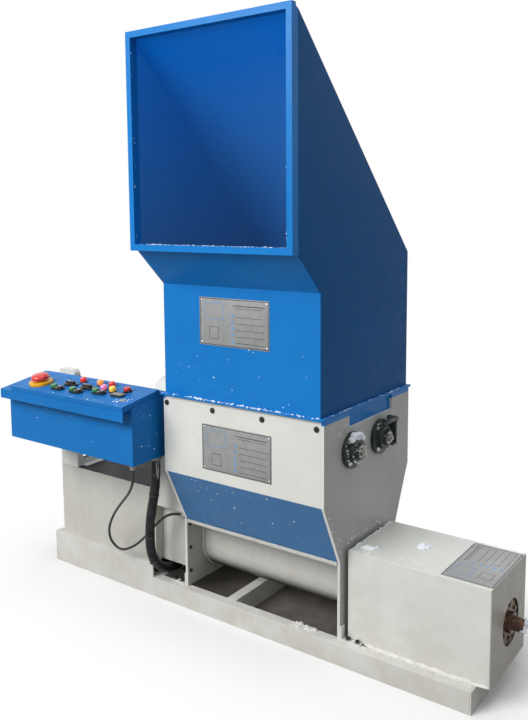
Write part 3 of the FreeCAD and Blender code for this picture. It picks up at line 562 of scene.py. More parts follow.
def cable_band(name, line, share, radius):
    """Plastic tie around a bundle, some way along its line."""
    k = round(share * (len(line) - 2))
    place = aim(line[k], line[k + 1] - line[k])
    work = bmesh.new()
    outside = radius + 0.0012
    turned(work, [(radius, -0.0022), (outside, -0.002), (outside, 0.002), (radius, 0.0022)], place, 28)
    slab(work, (0.006, 0.005, 0.006), place @ Matrix.Translation((0.0, -radius - 0.002, 0.0)))
    return made(name, work, "root", "black_plastic", black_plastic)


LOOP = (
    (-0.258, -0.377, 0.540),
    (-0.258, -0.377, 0.500),
    (-0.289, -0.361, 0.455),
    (-0.345, -0.338, 0.405),
    (-0.408, -0.312, 0.352),
    (-0.462, -0.290, 0.296),
    (-0.498, -0.274, 0.240),
    (-0.502, -0.262, 0.190),
    (-0.462, -0.252, 0.158),
    (-0.408, -0.244, 0.180),
    (-0.360, -0.236, 0.220),
    (-0.320, -0.226, 0.268),
    (-0.288, -0.204, 0.310),
    (-0.250, -0.182, 0.328),
    (-0.213, -0.182, 0.328),
)
CONDUIT = (
    (-0.262, -0.262, 0.546),
    (-0.262, -0.262, 0.455),
    (-0.300, -0.260, 0.310),
    (-0.300, -0.260, 0.193),
    (-0.299, -0.225, 0.133),
    (-0.298, -0.165, 0.098),
    (-0.298, -0.100, 0.098),
)
cord("loop_cable_line", "loop_cable", LOOP, LOOP_DIAMETER, rubber)
conduit_line = route(CONDUIT)
conduit_ties = [cable_band("conduit_tie_%d" % n, conduit_line, share, CONDUIT_DIAMETER / 2.0 + 0.0002)
                for n, share in enumerate(TIE_SHARES)]
cord("conduit_line", "cable_conduit", CONDUIT, CONDUIT_DIAMETER, tape)


# Sheet metal, castings and bare steel

soften(base_paint, 0.0012, "base_front_rail", "base_rear_rail", "base_end_members",
       "base_cross_members", "drive_bed_channels")
soften(plate_paint, 0.0008, "left_side_plate", "right_side_plate")
soften(blue_paint, 0.0008, "hopper_front_panel", "mouth_frame", "hopper_flange", "shaft_slot_covers")
rear_panel = soften(blue_paint, 0.0008, "hopper_rear_panel")
# Side walls of the hopper in the blue darkened as painted shade
left_wall = soften(blue_wall_painted_shade, 0.0008, "hopper_left_wall")
right_wall = soften(blue_wall_painted_shade, 0.0008, "hopper_right_wall")
# The hopper's inner faces take that enamel with painted shade and painted light
face_material(rear_panel, slope_paint, lambda out: out.y < -0.5 or out.z < -0.5)
face_material(left_wall, mouth_paint, lambda out: out.x > 0.9)
face_material(right_wall, mouth_paint, lambda out: out.x < -0.9)
soften(grey_paint, 0.0009, "body_front_panel", "body_rear_panel", "heater_cover", "control_post",
       "drive_guard", "coupling_cover")
soften(trough_paint, 0.0009, "screw_trough")
# Heater end plate in the darker grey of painted shade
soften(end_painted_shade, 0.0009, "heater_end_plate")
soften(blue_slope_paint, 0.0008, "lower_front_panel", "lower_rear_panel")
soften(drive_paint, 0.0009, "drive_cover_front", "drive_cover_rear", "drive_cover_shell",
       "control_box_brackets")
soften(black_steel, 0.002, "coupling_pedestal")
soften(blue_box_paint, 0.0006, "control_box", "control_lid")
soften(dark_cast, 0.0018, "bearing_right_front", "bearing_right_rear", "left_bearings")
soften(flange_metal, 0.0008, "trough_flange")
soften(base_paint, 0.0008, "foot_brackets")
soften(zinc_metal, 0.0007, "bearing_bolts")
soften(yellow_plastic, 0.0012, "estop_ring")
soften(black_plastic, 0.0012, "switch_bezels", "selector_switches")
dress(worked_metal, *[n for n in frame["nodes"] if "_rotor_" in n])
dress(barrel_metal, "melt_barrel")
dress(hot_metal, "head_flange", "nozzle")
dress(grey_paint, "heater_inner_plate")
dress(zinc_metal, "lid_hinges", "lid_lock")
dress(fitting_plastic, "cable_fittings")


# Control desk

def on_lid(place, height=LID_TOP):
    """Matrix at a place on the lid: a share of its length, a distance up its slope, a height."""
    return RIM @ Matrix.Translation((LID_START + place[0] * LID_LENGTH, place[1], height))


def beside(place, shift):
    """A place on the lid moved along it by some metres."""
    return place[0] + shift / LID_LENGTH, place[1]


def push_cap(name, node, body, place, slot, material):
    """Moulded cap with a rounded rim and a shallow dish for the fingertip."""
    work = bmesh.new()
    turned(work, [(0.0108, 0.0035), (0.0120, 0.0042), (0.0120, 0.0140), (0.0115, 0.0160), (0.0103, 0.0169),
                  (0.0088, 0.0167), (0.0050, 0.0158), (0.0, 0.0156)], on_lid(place), 36)
    piece = made(name, work, body, slot, material, smooth=50.0)
    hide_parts(node)


def emergency_head():
    """Mushroom head on its plunger, with a grip groove under the rim."""
    work = bmesh.new()
    turned(work, [(0.0180, 0.0022), (0.0180, 0.0222), (0.0250, 0.0222), (0.0262, 0.0192), (0.0290, 0.0184),
                  (0.0318, 0.0190), (0.0330, 0.0206), (0.0330, 0.0236), (0.0322, 0.0242), (0.0322, 0.0254),
                  (0.0328, 0.0260), (0.0322, 0.0294), (0.0290, 0.0332), (0.0230, 0.0358), (0.0140, 0.0372),
                  (0.0060, 0.0375), (0.0, 0.0375)], on_lid(ESTOP), 56)
    piece = made("emergency_stop_head", work, "emergency_stop", "red_plastic", red_plastic, smooth=50.0)
    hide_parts("estop_head")


def lamps():
    """Indicator lamps: a dark ring each and a domed lens in its own colour."""
    red, orange, pink, yellow = 1, 2, 3, 4
    places = ((0.427, 0.138, red), (0.576, 0.140, orange), (0.676, 0.142, red), (0.669, 0.105, pink),
              (0.743, 0.106, yellow))
    work = bmesh.new()
    for share, up, colour in places:
        place = on_lid((share, up))
        turned(work, [(0.0150, 0.0), (0.0150, 0.0030), (0.0142, 0.0040), (0.0122, 0.0040),
                      (0.0122, 0.0020)], place, 36, 0)
        turned(work, [(0.0118, 0.0020), (0.0118, 0.0130), (0.0112, 0.0156), (0.0090, 0.0178),
                      (0.0050, 0.0188), (0.0, 0.0190)], place, 36, colour)
    piece = made("lamps", work, "lid", "lamp_plastic", black_plastic, red_lens, orange_lens, pink_lens,
                 yellow_lens, smooth=50.0)
    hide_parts("indicator_lamps")


def switch_marks():
    """White windows in the double buttons, pointer lines on the selectors, a plate on the blank switch."""
    work = bmesh.new()
    for place in DOUBLE_SWITCHES:
        slab(work, (0.0050, 0.0120, 0.0016), on_lid(place, LID_TOP + 0.0074), 0.0004)
        slab(work, (0.0090, 0.0030, 0.0006), on_lid(beside(place, CAP_OFFSET), LID_TOP + 0.0133), 0.0002)
    for place in SELECTORS:
        slab(work, (0.0140, 0.0022, 0.0006), on_lid(beside(place, -0.010), LID_TOP + 0.0161), 0.0002)
    slab(work, (0.0400, 0.0130, 0.0006), on_lid(BLANK_SWITCH, LID_TOP + 0.0072), 0.0002, 1)
    made("switch_marks", work, "lid", "lamp_plastic", white_plastic, plate_metal)


for side, place in zip(("left", "middle", "right"), DOUBLE_SWITCHES):
    push_cap("green_cap_" + side, "start_button_" + side, side + "_start", beside(place, -CAP_OFFSET),
             "green_plastic", green_plastic)
push_cap("red_cap", "red_button", "red_push", SINGLE_BUTTON, "red_plastic", red_plastic)
emergency_head()
lamps()
switch_marks()


# Bearings, barrel head and fasteners

def bearing_details():
    """Seal, locking screws and grease nipple on each bearing unit of the right plate."""
    work = bmesh.new()
    face = PLATE_RIGHT + BEARING_INSERT
    for y in (FRONT_ROTOR_Y, REAR_ROTOR_Y):
        out = aim((face, y, ROTOR_Z), (1, 0, 0))
        turned(work, [(0.0250, 0.0), (0.0246, 0.0008), (0.0200, 0.0010), (0.0200, 0.0004),
                      (0.0150, 0.0004)], out, 40, 0)
        turned(work, [(0.0198, 0.0006), (0.0150, 0.0008), (0.0127, 0.0004)], out, 40, 1)
        for angle in (35.0, 155.0):
            a = math.radians(angle)
            away = Vector((0.0, math.cos(a), math.sin(a)))
            hole = aim(Vector((face - 0.005, y, ROTOR_Z)) + away * 0.0246, away)
            turned(work, [(0.0030, 0.0), (0.0030, 0.0014), (0.0018, 0.0014), (0.0016, 0.0004),
                          (0.0, 0.0004)], hole, 12, 1)
        away = Vector((0.0, -0.5, 0.83)).normalized()
        foot = Vector((PLATE_RIGHT + 0.020, y, ROTOR_Z)) + away * 0.0375
        nipple = aim(foot, Vector((0.25, -0.5, 0.83)).normalized())
        turned(work, [(0.0042, -0.001), (0.0042, 0.004), (0.0026, 0.005), (0.0026, 0.008),
                      (0.0034, 0.0095), (0.0024, 0.012), (0.0, 0.0125)], nipple, 14, 0)
    made("bearing_seals", work, "root", "dark_cast", black_steel, worked_metal)


def shaft_guard():
    """Bent strap with a round boss that stands on the rear bearing beside its shaft."""
    work = bmesh.new()
    slab(work, (0.034, 0.0070, 0.0840), Matrix.Translation((0.4720, REAR_ROTOR_Y + 0.0400, 0.6850)), 0.0015)
    slab(work, (0.018, 0.0660, 0.0075), Matrix.Translation((0.4800, REAR_ROTOR_Y + 0.0105, 0.7240)), 0.0015)
    slab(work, (0.024, 0.0280, 0.0075), Matrix.Translation((0.4770, REAR_ROTOR_Y + 0.0300, 0.6440)), 0.0015)
    boss = aim((0.4560, REAR_ROTOR_Y + 0.0420, 0.7250), (1, 0, 0))
    turned(work, [(0.0095, 0.0), (0.0095, 0.0320), (0.0085, 0.0340), (0.0050, 0.0345), (0.0, 0.0345)],
           boss, 24)
    made("shaft_guard_strap", work, "root", "dark_cast", dark_cast)


def shaft_end(name, body, y):
    """Washer and bolt in the end of a rotor shaft."""
    work = bmesh.new()
    place = aim((PLATE_RIGHT + SHAFT_STICKOUT, y, ROTOR_Z), (1, 0, 0), 0.4)
    turned(work, [(0.0118, 0.0), (0.0118, 0.0018), (0.0108, 0.0022), (0.0, 0.0022)], place, 28)
    turned(work, [(0.0068, 0.0022), (0.0068, 0.0062), (0.0058, 0.0070), (0.0, 0.0070)], place, 6)
    made(name, work, body, "worked_steel", worked_metal)


def head_bolts():
    """Bolts around the head flange of the barrel."""
    work = bmesh.new()
    for k in range(6):
        a = math.radians(30 + 60 * k)
        y, z = HEAD_BOLT_RADIUS * math.cos(a), HEAD_BOLT_RADIUS * math.sin(a)
        place = aim((COVER_END - 0.006, y, BARREL_Z + z), (1, 0, 0), a)
        turned(work, [(0.0078, 0.0), (0.0078, 0.0016), (0.0074, 0.0018)], place, 20)
        turned(work, [(0.0062, 0.0016), (0.0062, 0.0054), (0.0054, 0.0060), (0.0, 0.0060)], place, 6)
    made("head_flange_bolts", work, "root", "hot_steel", barrel_metal)


def body_screws():
    """Black button-head screws that hold the body's front and rear panels."""
    work = bmesh.new()
    for x in BODY_SCREW_PLACES:
        for side in (-1, 1):
            place = aim((x, side * -BODY_FRONT, BODY_SCREW_Z), (0, side, 0), 0.3 + x)
            turned(work, [(0.0098, 0.0), (0.0098, 0.0012), (0.0088, 0.0016)], place, 28)
            turned(work, [(0.0080, 0.0012), (0.0078, 0.0030), (0.0066, 0.0048), (0.0044, 0.0055),
                          (0.0036, 0.0055)], place, 28)
            turned(work, [(0.0036, 0.0055), (0.0034, 0.0025), (0.0, 0.0022)], place, 6)
    made("body_screws", work, "root", "black_plastic", black_steel)


def foot_bolts():
    """Bolts that hold the foot brackets to the rails, and the side plates to their flanges."""
    work = bmesh.new()
    for side in (-1, 1):
        for x in FOOT_BOLT_PLACES:
            foot = Matrix.Translation((x, side * FOOT_BOLT_Y, RAIL_TOP + FOOT_THICKNESS))
            place = foot @ Matrix.Rotation(x * 9.0, 4, "Z")
            turned(work, [(0.0098, 0.0), (0.0098, 0.0016), (0.0090, 0.0020)], place, 24)
            turned(work, [(0.0066, 0.0016), (0.0066, 0.0072), (0.0060, 0.0080), (0.0038, 0.0080)],
                   place, 24, 1)
            turned(work, [(0.0038, 0.0080), (0.0036, 0.0040), (0.0, 0.0036)], place, 6, 1)
        for z in SIDE_BOLT_HEIGHTS:
            place = aim((SIDE_BOLT_X, side * SIDE_BOLT_Y, z), (1, 0, 0), z * 20.0)
            turned(work, [(0.0070, 0.0), (0.0070, 0.0014), (0.0064, 0.0016)], place, 20, 1)
            turned(work, [(0.0054, 0.0014), (0.0054, 0.0046), (0.0046, 0.0052), (0.0, 0.0052)], place, 6, 1)
    made("foot_bolts", work, "root", "zinc", zinc_metal, black_steel)


bearing_details()
shaft_guard()
shaft_end("front_shaft_bolt", "front_rotor", FRONT_ROTOR_Y)
shaft_end("rear_shaft_bolt", "rear_rotor", REAR_ROTOR_Y)
head_bolts()
body_screws()
foot_bolts()


# Blank rating plates

def rating_plate(name, place, width, height):
    """Riveted aluminium plate with an engraved frame, an empty field and ruled lines."""
    thick = 0.0012
    work = bmesh.new()
    slab(work, (width, height, thick), place @ Matrix.Translation((0.0, 0.0, thick / 2.0)), 0.0004)

    def mark(x, y, w, h, index=1):
        slab(work, (w, h, 0.0003), place @ Matrix.Translation((x, y, thick + 0.0001)), 0.0001, index, 1)

    inset, line = 0.0035, 0.0022
    for side in (-1, 1):
        mark(0.0, side * (height / 2.0 - inset), width - 2.0 * inset, line)
        mark(side * (width / 2.0 - inset), 0.0, line, height - 2.0 * inset)
    left = -width / 2.0 + 0.060
    for side in (-1, 1):
        mark(left, 0.034 + side * 0.026, 0.076, 0.0016, 2)
        mark(left + side * 0.038, 0.034, 0.0016, 0.052, 2)
    for row in range(5):
        y = 0.024 - row * 0.0205
        mark(width / 2.0 - 0.142, y, 0.008, 0.009, 2)
        mark(width / 2.0 - 0.072, y - 0.0045, 0.112, 0.0014)
    mark(width / 2.0 - 0.078, height / 2.0 - 0.022, 0.124, 0.0026)
    mark(width / 2.0 - 0.078, height / 2.0 - 0.030, 0.110, 0.0014)
    for side in (-1, 1):
        mark(left, -0.036 + side * 0.019, 0.040, 0.0016)
        mark(left + side * 0.0192, -0.036, 0.0016, 0.038)
    for sx in (-1, 1):
        for sy in (-1, 1):
            corner = (sx * (width / 2.0 - 0.009), sy * (height / 2.0 - 0.009), thick)
            rivet = place @ Matrix.Translation(corner)
            turned(work, [(0.0026, 0.0), (0.0024, 0.0007), (0.0014, 0.0013), (0.0, 0.0015)], rivet, 16, 3)
    made(name, work, "root", "zinc", plate_metal, ink, pale_ink, bright_metal)


rating_plate("hopper_plate", facing((1, 0, 0), (0, 0, 1), (0.1095, BODY_FRONT, 1.0595)), 0.277, 0.155)
rating_plate("body_plate", facing((1, 0, 0), (0, 0, 1), (0.1130, BODY_FRONT, 0.6410)), 0.280, 0.154)
rating_plate("housing_plate", facing((0, 1, 0), (-1, 0, 0), (0.8360, -0.0190, COVER_TOP)), 0.266, 0.156)


# Foam crumbs left by the work

def crumb(work, rng, point, radius, flat=0.7, fine=1):
    """One lumpy bead of foam."""
    turn = Matrix.Rotation(rng.uniform(0.0, 6.28), 4, "Z") @ Matrix.Rotation(rng.uniform(-0.4, 0.4), 4, "X")
    wide, deep = radius * rng.uniform(0.75, 1.3), radius * rng.uniform(0.75, 1.3)
    size = Matrix.Diagonal((wide, deep, radius * flat, 1.0))
    verts = bmesh.ops.create_icosphere(work, subdivisions=fine, radius=1.0,
                                       matrix=Matrix.Translation(point) @ turn @ size)["verts"]
    centre = Vector(point)
    for vert in verts:
        away = vert.co - centre
        vert.co = centre + away * (1.0 + 0.45 * noise.noise(vert.co * (1.6 / radius)))


def surface(*nodes):
    """The outside of some CAD nodes, for things that lie on them."""
    corners, faces = [], []
    for node in nodes:
        mesh = frame["nodes"][node].data
        first = len(corners)
        corners += [v.co.copy() for v in mesh.vertices]
        faces += [[first + i for i in p.vertices] for p in mesh.polygons]
    return BVHTree.FromPolygons(corners, faces)


def crumbs(name, seed, *groups, material=foam_white, body="root"):
    """Scatter crumbs, each dropped along a direction on to the nodes that carry it.

    A group is the nodes, the direction, a line from start to end, how far the crumbs spread from it,
    their number and the largest radius.
    """
    rng = random.Random(seed)
    work = bmesh.new()
    for nodes, toward, start, end, spread, count, largest in groups:
        carrier = surface(*nodes)
        start, end, toward = Vector(start), Vector(end), Vector(toward)
        for _ in range(count):
            point = start.lerp(end, rng.random()) + Vector([s * rng.uniform(-1.0, 1.0) for s in spread])
            radius = largest * (0.3 + 0.7 * rng.random() ** 2.2)
            hit = carrier.ray_cast(point, toward, 0.3)[0]
            if hit is not None:
                crumb(work, rng, hit, radius, fine=2)
    made(name, work, body, "grey_paint", material, smooth=60.0)


def drift(name, start, end, width, height):
    """Foam dust banked up against a wall: full height at the wall, feathered out to nothing."""
    work = bmesh.new()
    start, end = Vector(start), Vector(end)
    steps, rows = round((end - start).length / 0.003), 7
    away = Vector((0.0, -1.0, 0.0))
    sunk = 0.0004
    lines = []
    for k in range(steps + 1):
        point = start.lerp(end, k / steps)
        taper = min(1.0, 8.0 * k / steps, 8.0 * (1.0 - k / steps) + 0.05)
        reach = width * (0.75 + 0.6 * noise.noise(point * 38.0)) * taper
        crest = height * (0.75 + 0.7 * noise.noise(point * 61.0))
        line = []
        for row in range(rows):
            share = row / (rows - 1)
            spot = point + away * reach * share
            lump = 0.0016 * noise.noise(spot * 300.0) * (1.0 - share)
            rise = crest * (1.0 - share) ** 1.4 + lump - sunk * (share == 1.0)
            line.append(work.verts.new(spot + Vector((0.0, 0.0, rise))))
        line.append(work.verts.new(point + Vector((0.0, 0.0, -sunk))))
        lines.append(line)
    for left, right in zip(lines, lines[1:]):
        for k in range(rows + 1):
            n = (k + 1) % (rows + 1)
            work.faces.new((left[k], right[k], right[n], left[n]))
    work.faces.new(lines[0])
    work.faces.new(lines[-1])
    made(name, work, "root", "grey_paint", foam_dust, smooth=60.0)


def heap(name, seed, *lumps):
    """Loose foam settled in lumps; each lump is a place, a radius and a flatness."""
    rng = random.Random(seed)
    work = bmesh.new()
    for point, radius, flat in lumps:
        crumb(work, rng, point, radius, flat, 4)
    made(name, work, "root", "grey_paint", foam_white, smooth=60.0)


DOWN, BACK, LEFT = (0, 0, -1), (0, 1, 0), (-1, 0, 0)
LIP, RAIL, DRIVE = ("hopper_flange",), ("base_front_rail",), ("drive_cover_front",)
MOUTH, WALL, HOUSING = ("mouth_frame",), ("right_side_plate",), ("heater_cover",)
HOPPER, CHAMBER, BODY = ("hopper_front_panel",), ("lower_front_panel",), ("body_front_panel",)
LID, DESK = ("control_lid",), ("control_box",)
crumbs("foam_on_hopper_flange", 3,
       (LIP, DOWN, (-0.195, -0.289, 0.82), (0.440, -0.289, 0.82), (0.0, 0.005, 0.0), 90, 0.0050),
       (LIP, DOWN, (-0.10, -0.291, 0.82), (0.25, -0.291, 0.82), (0.0, 0.004, 0.0), 50, 0.0040),
       (LIP, DOWN, (0.439, -0.28, 0.82), (0.439, 0.28, 0.82), (0.005, 0.0, 0.0), 80, 0.0032))
crumbs("foam_on_rail", 5,
       (RAIL, DOWN, (0.262, -0.186, 0.09), (0.350, -0.180, 0.09), (0.0, 0.012, 0.0), 60, 0.0095),
       (RAIL, DOWN, (0.52, -0.188, 0.09), (0.915, -0.188, 0.09), (0.0, 0.014, 0.0), 240, 0.0030),
       (RAIL, DOWN, (0.515, -0.176, 0.09), (0.915, -0.176, 0.09), (0.0, 0.006, 0.0), 160, 0.0044),
       (DRIVE, DOWN, (-0.84, -0.178, 0.43), (-0.36, -0.178, 0.43), (0.0, 0.010, 0.0), 26, 0.0026),
       (RAIL, DOWN, (-0.18, -0.19, 0.09), (0.42, -0.19, 0.09), (0.0, 0.014, 0.0), 50, 0.0032),
       material=foam_dust)
crumbs("foam_on_hopper_front", 8,
       (HOPPER, BACK, (-0.15, -0.34, 0.90), (0.40, -0.34, 0.90), (0.02, 0.0, 0.09), 20, 0.0030),
       (MOUTH, DOWN, (-0.16, -0.418, 1.34), (0.41, -0.418, 1.34), (0.0, 0.012, 0.0), 110, 0.0034),
       (MOUTH, (1, 0, 0), (0.39, -0.425, 1.315), (0.39, -0.425, 1.62), (0.0, 0.006, 0.0), 40, 0.0028),
       (MOUTH, LEFT, (-0.14, -0.425, 1.33), (-0.14, -0.425, 1.90), (0.0, 0.006, 0.0), 16, 0.0026))
crumbs("foam_on_cover", 13,
       (HOUSING, DOWN, (0.4625, -0.16, 0.38), (0.4625, 0.125, 0.38), (0.003, 0.0, 0.0), 80, 0.0042),
       (HOUSING, DOWN, (0.47, -0.150, 0.38), (0.75, -0.10, 0.38), (0.02, 0.012, 0.0), 50, 0.0024),
       (HOUSING, DOWN, (0.60, 0.118, 0.38), (0.90, 0.118, 0.38), (0.01, 0.006, 0.0), 50, 0.0030),
       (HOUSING, DOWN, (0.47, -0.161, 0.38), (0.90, -0.161, 0.38), (0.0, 0.003, 0.0), 60, 0.0022),
       (HOUSING, DOWN, (0.77, -0.14, 0.38), (0.90, 0.10, 0.38), (0.01, 0.03, 0.0), 40, 0.0016))
crumbs("foam_on_slope", 29,
       (CHAMBER, BACK, (-0.14, -0.33, 0.44), (0.40, -0.33, 0.44), (0.02, 0.0, 0.08), 30, 0.0026),
       (BODY, BACK, (-0.14, -0.33, 0.66), (0.42, -0.33, 0.66), (0.0, 0.0, 0.12), 16, 0.0020))
crumbs("foam_on_side_plate", 37,
       (WALL, LEFT, (0.50, -0.24, 0.48), (0.50, -0.17, 0.34), (0.0, 0.02, 0.02), 40, 0.0026),
       (WALL, LEFT, (0.50, -0.15, 0.375), (0.50, 0.13, 0.372), (0.0, 0.0, 0.008), 60, 0.0034),
       (WALL, LEFT, (0.50, 0.278, 0.42), (0.50, 0.278, 0.76), (0.0, 0.003, 0.0), 26, 0.0028),
       (WALL, LEFT, (0.50, -0.20, 0.740), (0.50, -0.05, 0.755), (0.0, 0.01, 0.02), 50, 0.0022))
crumbs("foam_on_lid", 43,
       (LID, DOWN, (-0.305, -0.405, 0.85), (-0.252, -0.390, 0.85), (0.006, 0.014, 0.0), 44, 0.0028),
       (LID, DOWN, (-0.79, -0.434, 0.85), (-0.24, -0.434, 0.85), (0.0, 0.008, 0.0), 22, 0.0020),
       (LID, DOWN, (-0.79, -0.36, 0.85), (-0.79, -0.29, 0.85), (0.012, 0.0, 0.0), 14, 0.0026),
       body="lid")
crumbs("foam_on_desk", 41,
       (DESK, LEFT, (-0.18, -0.40, 0.66), (-0.18, -0.27, 0.66), (0.0, 0.0, 0.08), 12, 0.0026),
       (DESK, BACK, (-0.82, -0.50, 0.66), (-0.26, -0.50, 0.66), (0.0, 0.0, 0.07), 8, 0.0020))
COVER_FOOT = COVER_FRONT - 0.0004
drift("foam_drift_on_rail", (0.516, COVER_FOOT, RAIL_TOP), (0.914, COVER_FOOT, RAIL_TOP), 0.016, 0.007)
heap("foam_dabs_on_cover", 17,
     ((0.505, -0.112, COVER_TOP), 0.0170, 0.45), ((0.522, -0.098, COVER_TOP), 0.0100, 0.5),
     ((0.488, -0.120, COVER_TOP), 0.0090, 0.5), ((0.640, -0.006, COVER_TOP), 0.0150, 0.6),
     ((0.656, 0.006, COVER_TOP), 0.0080, 0.6), ((0.628, -0.016, COVER_TOP), 0.0070, 0.5))
heap("foam_on_bearing", 19,
     ((0.461, -0.128, 0.7160), 0.0230, 0.62), ((0.463, -0.106, 0.7120), 0.0190, 0.60),
     ((0.466, -0.092, 0.7040), 0.0120, 0.8), ((0.458, -0.146, 0.7080), 0.0140, 0.7),
     ((0.470, -0.118, 0.7190), 0.0130, 0.7))
FRONT_UNIT = ("bearing_right_front", "bearing_bolts")
REAR_UNIT = ("bearing_right_rear", "bearing_bolts")
crumbs("foam_on_bearing_edges", 23,
       (FRONT_UNIT, LEFT, (0.56, -0.165, 0.640), (0.56, -0.095, 0.628), (0.0, 0.006, 0.008), 44, 0.0042),
       (FRONT_UNIT, LEFT, (0.56, -0.145, 0.690), (0.56, -0.100, 0.655), (0.0, 0.014, 0.016), 60, 0.0036),
       (FRONT_UNIT, LEFT, (0.56, -0.170, 0.690), (0.56, -0.160, 0.650), (0.0, 0.006, 0.010), 26, 0.0028),
       (REAR_UNIT, LEFT, (0.56, 0.030, 0.712), (0.56, 0.090, 0.712), (0.0, 0.006, 0.006), 26, 0.0028),
       (REAR_UNIT, LEFT, (0.56, 0.030, 0.632), (0.56, 0.080, 0.624), (0.0, 0.006, 0.006), 26, 0.0028))
heap("residue_on_nozzle", 31,
     ((0.955, 0.004, BARREL_Z + 0.006), 0.0150, 1.0), ((0.953, -0.008, BARREL_Z - 0.008), 0.0130, 1.1),
     ((0.950, 0.010, BARREL_Z - 0.004), 0.0120, 1.1))


# Stage, light and camera

def camera():
    """The photo's view."""
    ahead = Vector((-math.sin(YAW) * math.cos(PITCH), math.cos(YAW) * math.cos(PITCH), -math.sin(PITCH)))
    level = Vector((math.cos(YAW), math.sin(YAW), 0.0))
    upright = level.cross(ahead)
    right = level * math.cos(ROLL) + upright * math.sin(ROLL)
    up = upright * math.cos(ROLL) - level * math.sin(ROLL)
    data = bpy.data.cameras.new("camera")
    data.sensor_fit = "VERTICAL"
    data.sensor_height = SENSOR
    data.lens = FOCAL_PIXELS / PHOTO_HEIGHT * SENSOR
    data.shift_y = SHIFT_PIXELS / PHOTO_HEIGHT
    data.clip_end = 60.0
    view = bpy.data.objects.new("camera", data)
    bpy.context.scene.collection.objects.link(view)
    basis = Matrix((right, up, -ahead)).transposed().to_4x4()
    view.matrix_world = Matrix.Translation(EYE) @ basis
    bpy.context.scene.camera = view


def softbox(name, place, target, size, power):
    """Rectangular lamp at a place, turned to a target."""
    data = bpy.data.lights.new(name, "AREA")
    data.shape = "RECTANGLE"
    data.size, data.size_y = size
    data.energy = power
    light = bpy.data.objects.new(name, data)
    bpy.context.scene.collection.objects.link(light)
    light.matrix_world = aim(Vector(place), Vector(place) - Vector(target))
    return light


def only_inside(light, blocker, *pieces):
    """Let a light reach only the given pieces, past everything but the blocker."""
    receivers = bpy.data.collections.new(light.name + "_receivers")
    for piece in pieces:
        receivers.objects.link(piece)
    light.light_linking.receiver_collection = receivers
    blockers = bpy.data.collections.new(light.name + "_blockers")
    blockers.objects.link(blocker)
    light.light_linking.blocker_collection = blockers


def white_to_eye(tree, plain, pale):
    """Mix a plain shader with a pale one that the eye, glass and metal see."""
    path = tree.nodes.new("ShaderNodeLightPath")
    direct = tree.nodes.new("ShaderNodeMath")
    direct.operation = "MAXIMUM"
    tree.links.new(path.outputs["Is Camera Ray"], direct.inputs[0])
    tree.links.new(path.outputs["Is Transmission Ray"], direct.inputs[1])
    seen = tree.nodes.new("ShaderNodeMath")
    seen.operation = "MAXIMUM"
    tree.links.new(direct.outputs[0], seen.inputs[0])
    tree.links.new(path.outputs["Is Glossy Ray"], seen.inputs[1])
    blend = tree.nodes.new("ShaderNodeMixShader")
    tree.links.new(seen.outputs[0], blend.inputs[0])
    tree.links.new(plain.outputs[0], blend.inputs[1])
    tree.links.new(pale.outputs[0], blend.inputs[2])
    return blend


def world():
    """Dim light from all round, which the camera sees as plain white."""
    scene_world = bpy.data.worlds.new("studio")
    bpy.context.scene.world = scene_world
    scene_world.use_nodes = True
    tree = scene_world.node_tree
    plain = tree.nodes["Background"]
    plain.inputs["Color"].default_value = (0.93, 0.96, 1.0, 1.0)
    plain.inputs["Strength"].default_value = 0.30
    pale = tree.nodes.new("ShaderNodeBackground")
    pale.inputs["Color"].default_value = (1.0, 1.0, 1.0, 1.0)
    pale.inputs["Strength"].default_value = 1.0
    blend = white_to_eye(tree, plain, pale)
    tree.links.new(blend.outputs[0], tree.nodes["World Output"].inputs["Surface"])


def floor():
    """Wide plain floor, which isn't part of the machine."""
    work = bmesh.new()
    bmesh.ops.create_grid(work, x_segments=8, y_segments=8, size=14.0)
    mesh = bpy.data.meshes.new("floor")
    work.to_mesh(mesh)
    work.free()
    piece = bpy.data.objects.new("floor", mesh)
    bpy.context.scene.collection.objects.link(piece)
    mesh.materials.append(floor_material())
    return piece


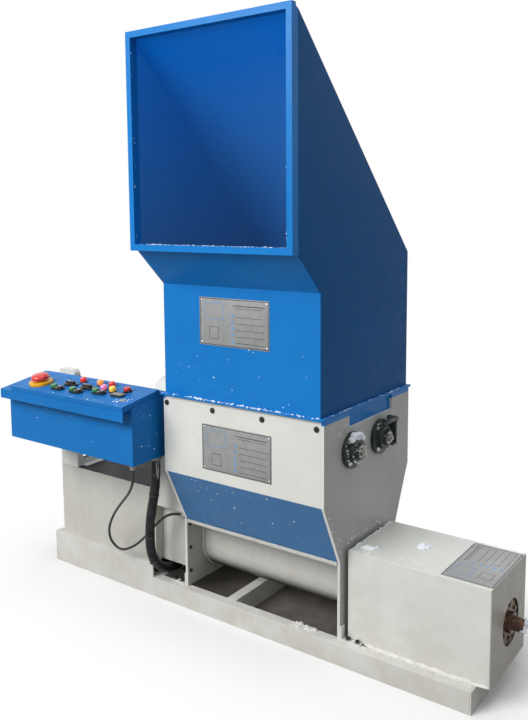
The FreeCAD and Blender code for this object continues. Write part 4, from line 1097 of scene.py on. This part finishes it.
def floor_material():
    """Dusty concrete between the rails, dark as the real floor and as painted shadow under the machine,
    which turns into a white sweep away from the base.
    """
    g = Graph("pale_floor")
    beyond_ends = g.maths("SUBTRACT", g.maths("ABSOLUTE", g.axis(0), clamp=False), BASE_END)
    beyond_rails = g.maths("SUBTRACT", g.maths("ABSOLUTE", g.axis(1), clamp=False), BASE_SIDE)
    away = g.maths("ADD", beyond_ends, beyond_rails)
    # Concrete only inside the base's outline: the floor's own dark grey, and painted shadow under the
    # machine
    concrete = g.mix(g.spread(g.noise(14.0, 5.0), 0.3, 0.75), screen(72, 67, 61), screen(100, 94, 86))
    path = g.add("ShaderNodeLightPath").outputs
    eye = g.maths("MAXIMUM", path["Is Camera Ray"], path["Is Glossy Ray"])
    sweep = g.mix(eye, screen(140, 138, 134), screen(240, 240, 239))
    pale = g.mix(g.spread(away, 0.0, 0.004), concrete, sweep)
    g.done(pale, 0.8, g.bump(g.noise(60.0, 3.0), 0.05, 0.001))
    white = g.add("ShaderNodeEmission")
    blend = g.add("ShaderNodeMixShader")
    g.put(blend.inputs[0], g.maths("MULTIPLY", g.spread(away, 0.01, 0.45), eye))
    g.put(blend.inputs[1], g.shader.outputs[0])
    g.put(blend.inputs[2], white.outputs[0])
    g.put(g.tree.nodes["Material Output"].inputs["Surface"], blend.outputs[0])
    return g.material


camera()
world()
ground = floor()
softbox("key", (-1.5, -4.3, 3.6), (-0.1, 0.0, 0.8), (3.2, 2.4), 285.0)
softbox("top", (0.2, -0.6, 4.8), (0.1, 0.0, 0.8), (3.4, 3.4), 58.0)
softbox("right", (4.6, -1.2, 2.6), (0.2, 0.0, 0.8), (2.6, 2.6), 24.0)
softbox("back", (0.6, 4.4, 3.2), (0.0, 0.0, 0.9), (3.2, 2.6), 40.0)
mouth_light = softbox("mouth_fill", (3.2, -4.5, 1.4), (0.1, -0.1, 1.5), (0.6, 0.6), 330.0)
only_inside(mouth_light, ground, left_wall, rear_panel)

scene = bpy.context.scene
scene.view_settings.view_transform = "Standard"
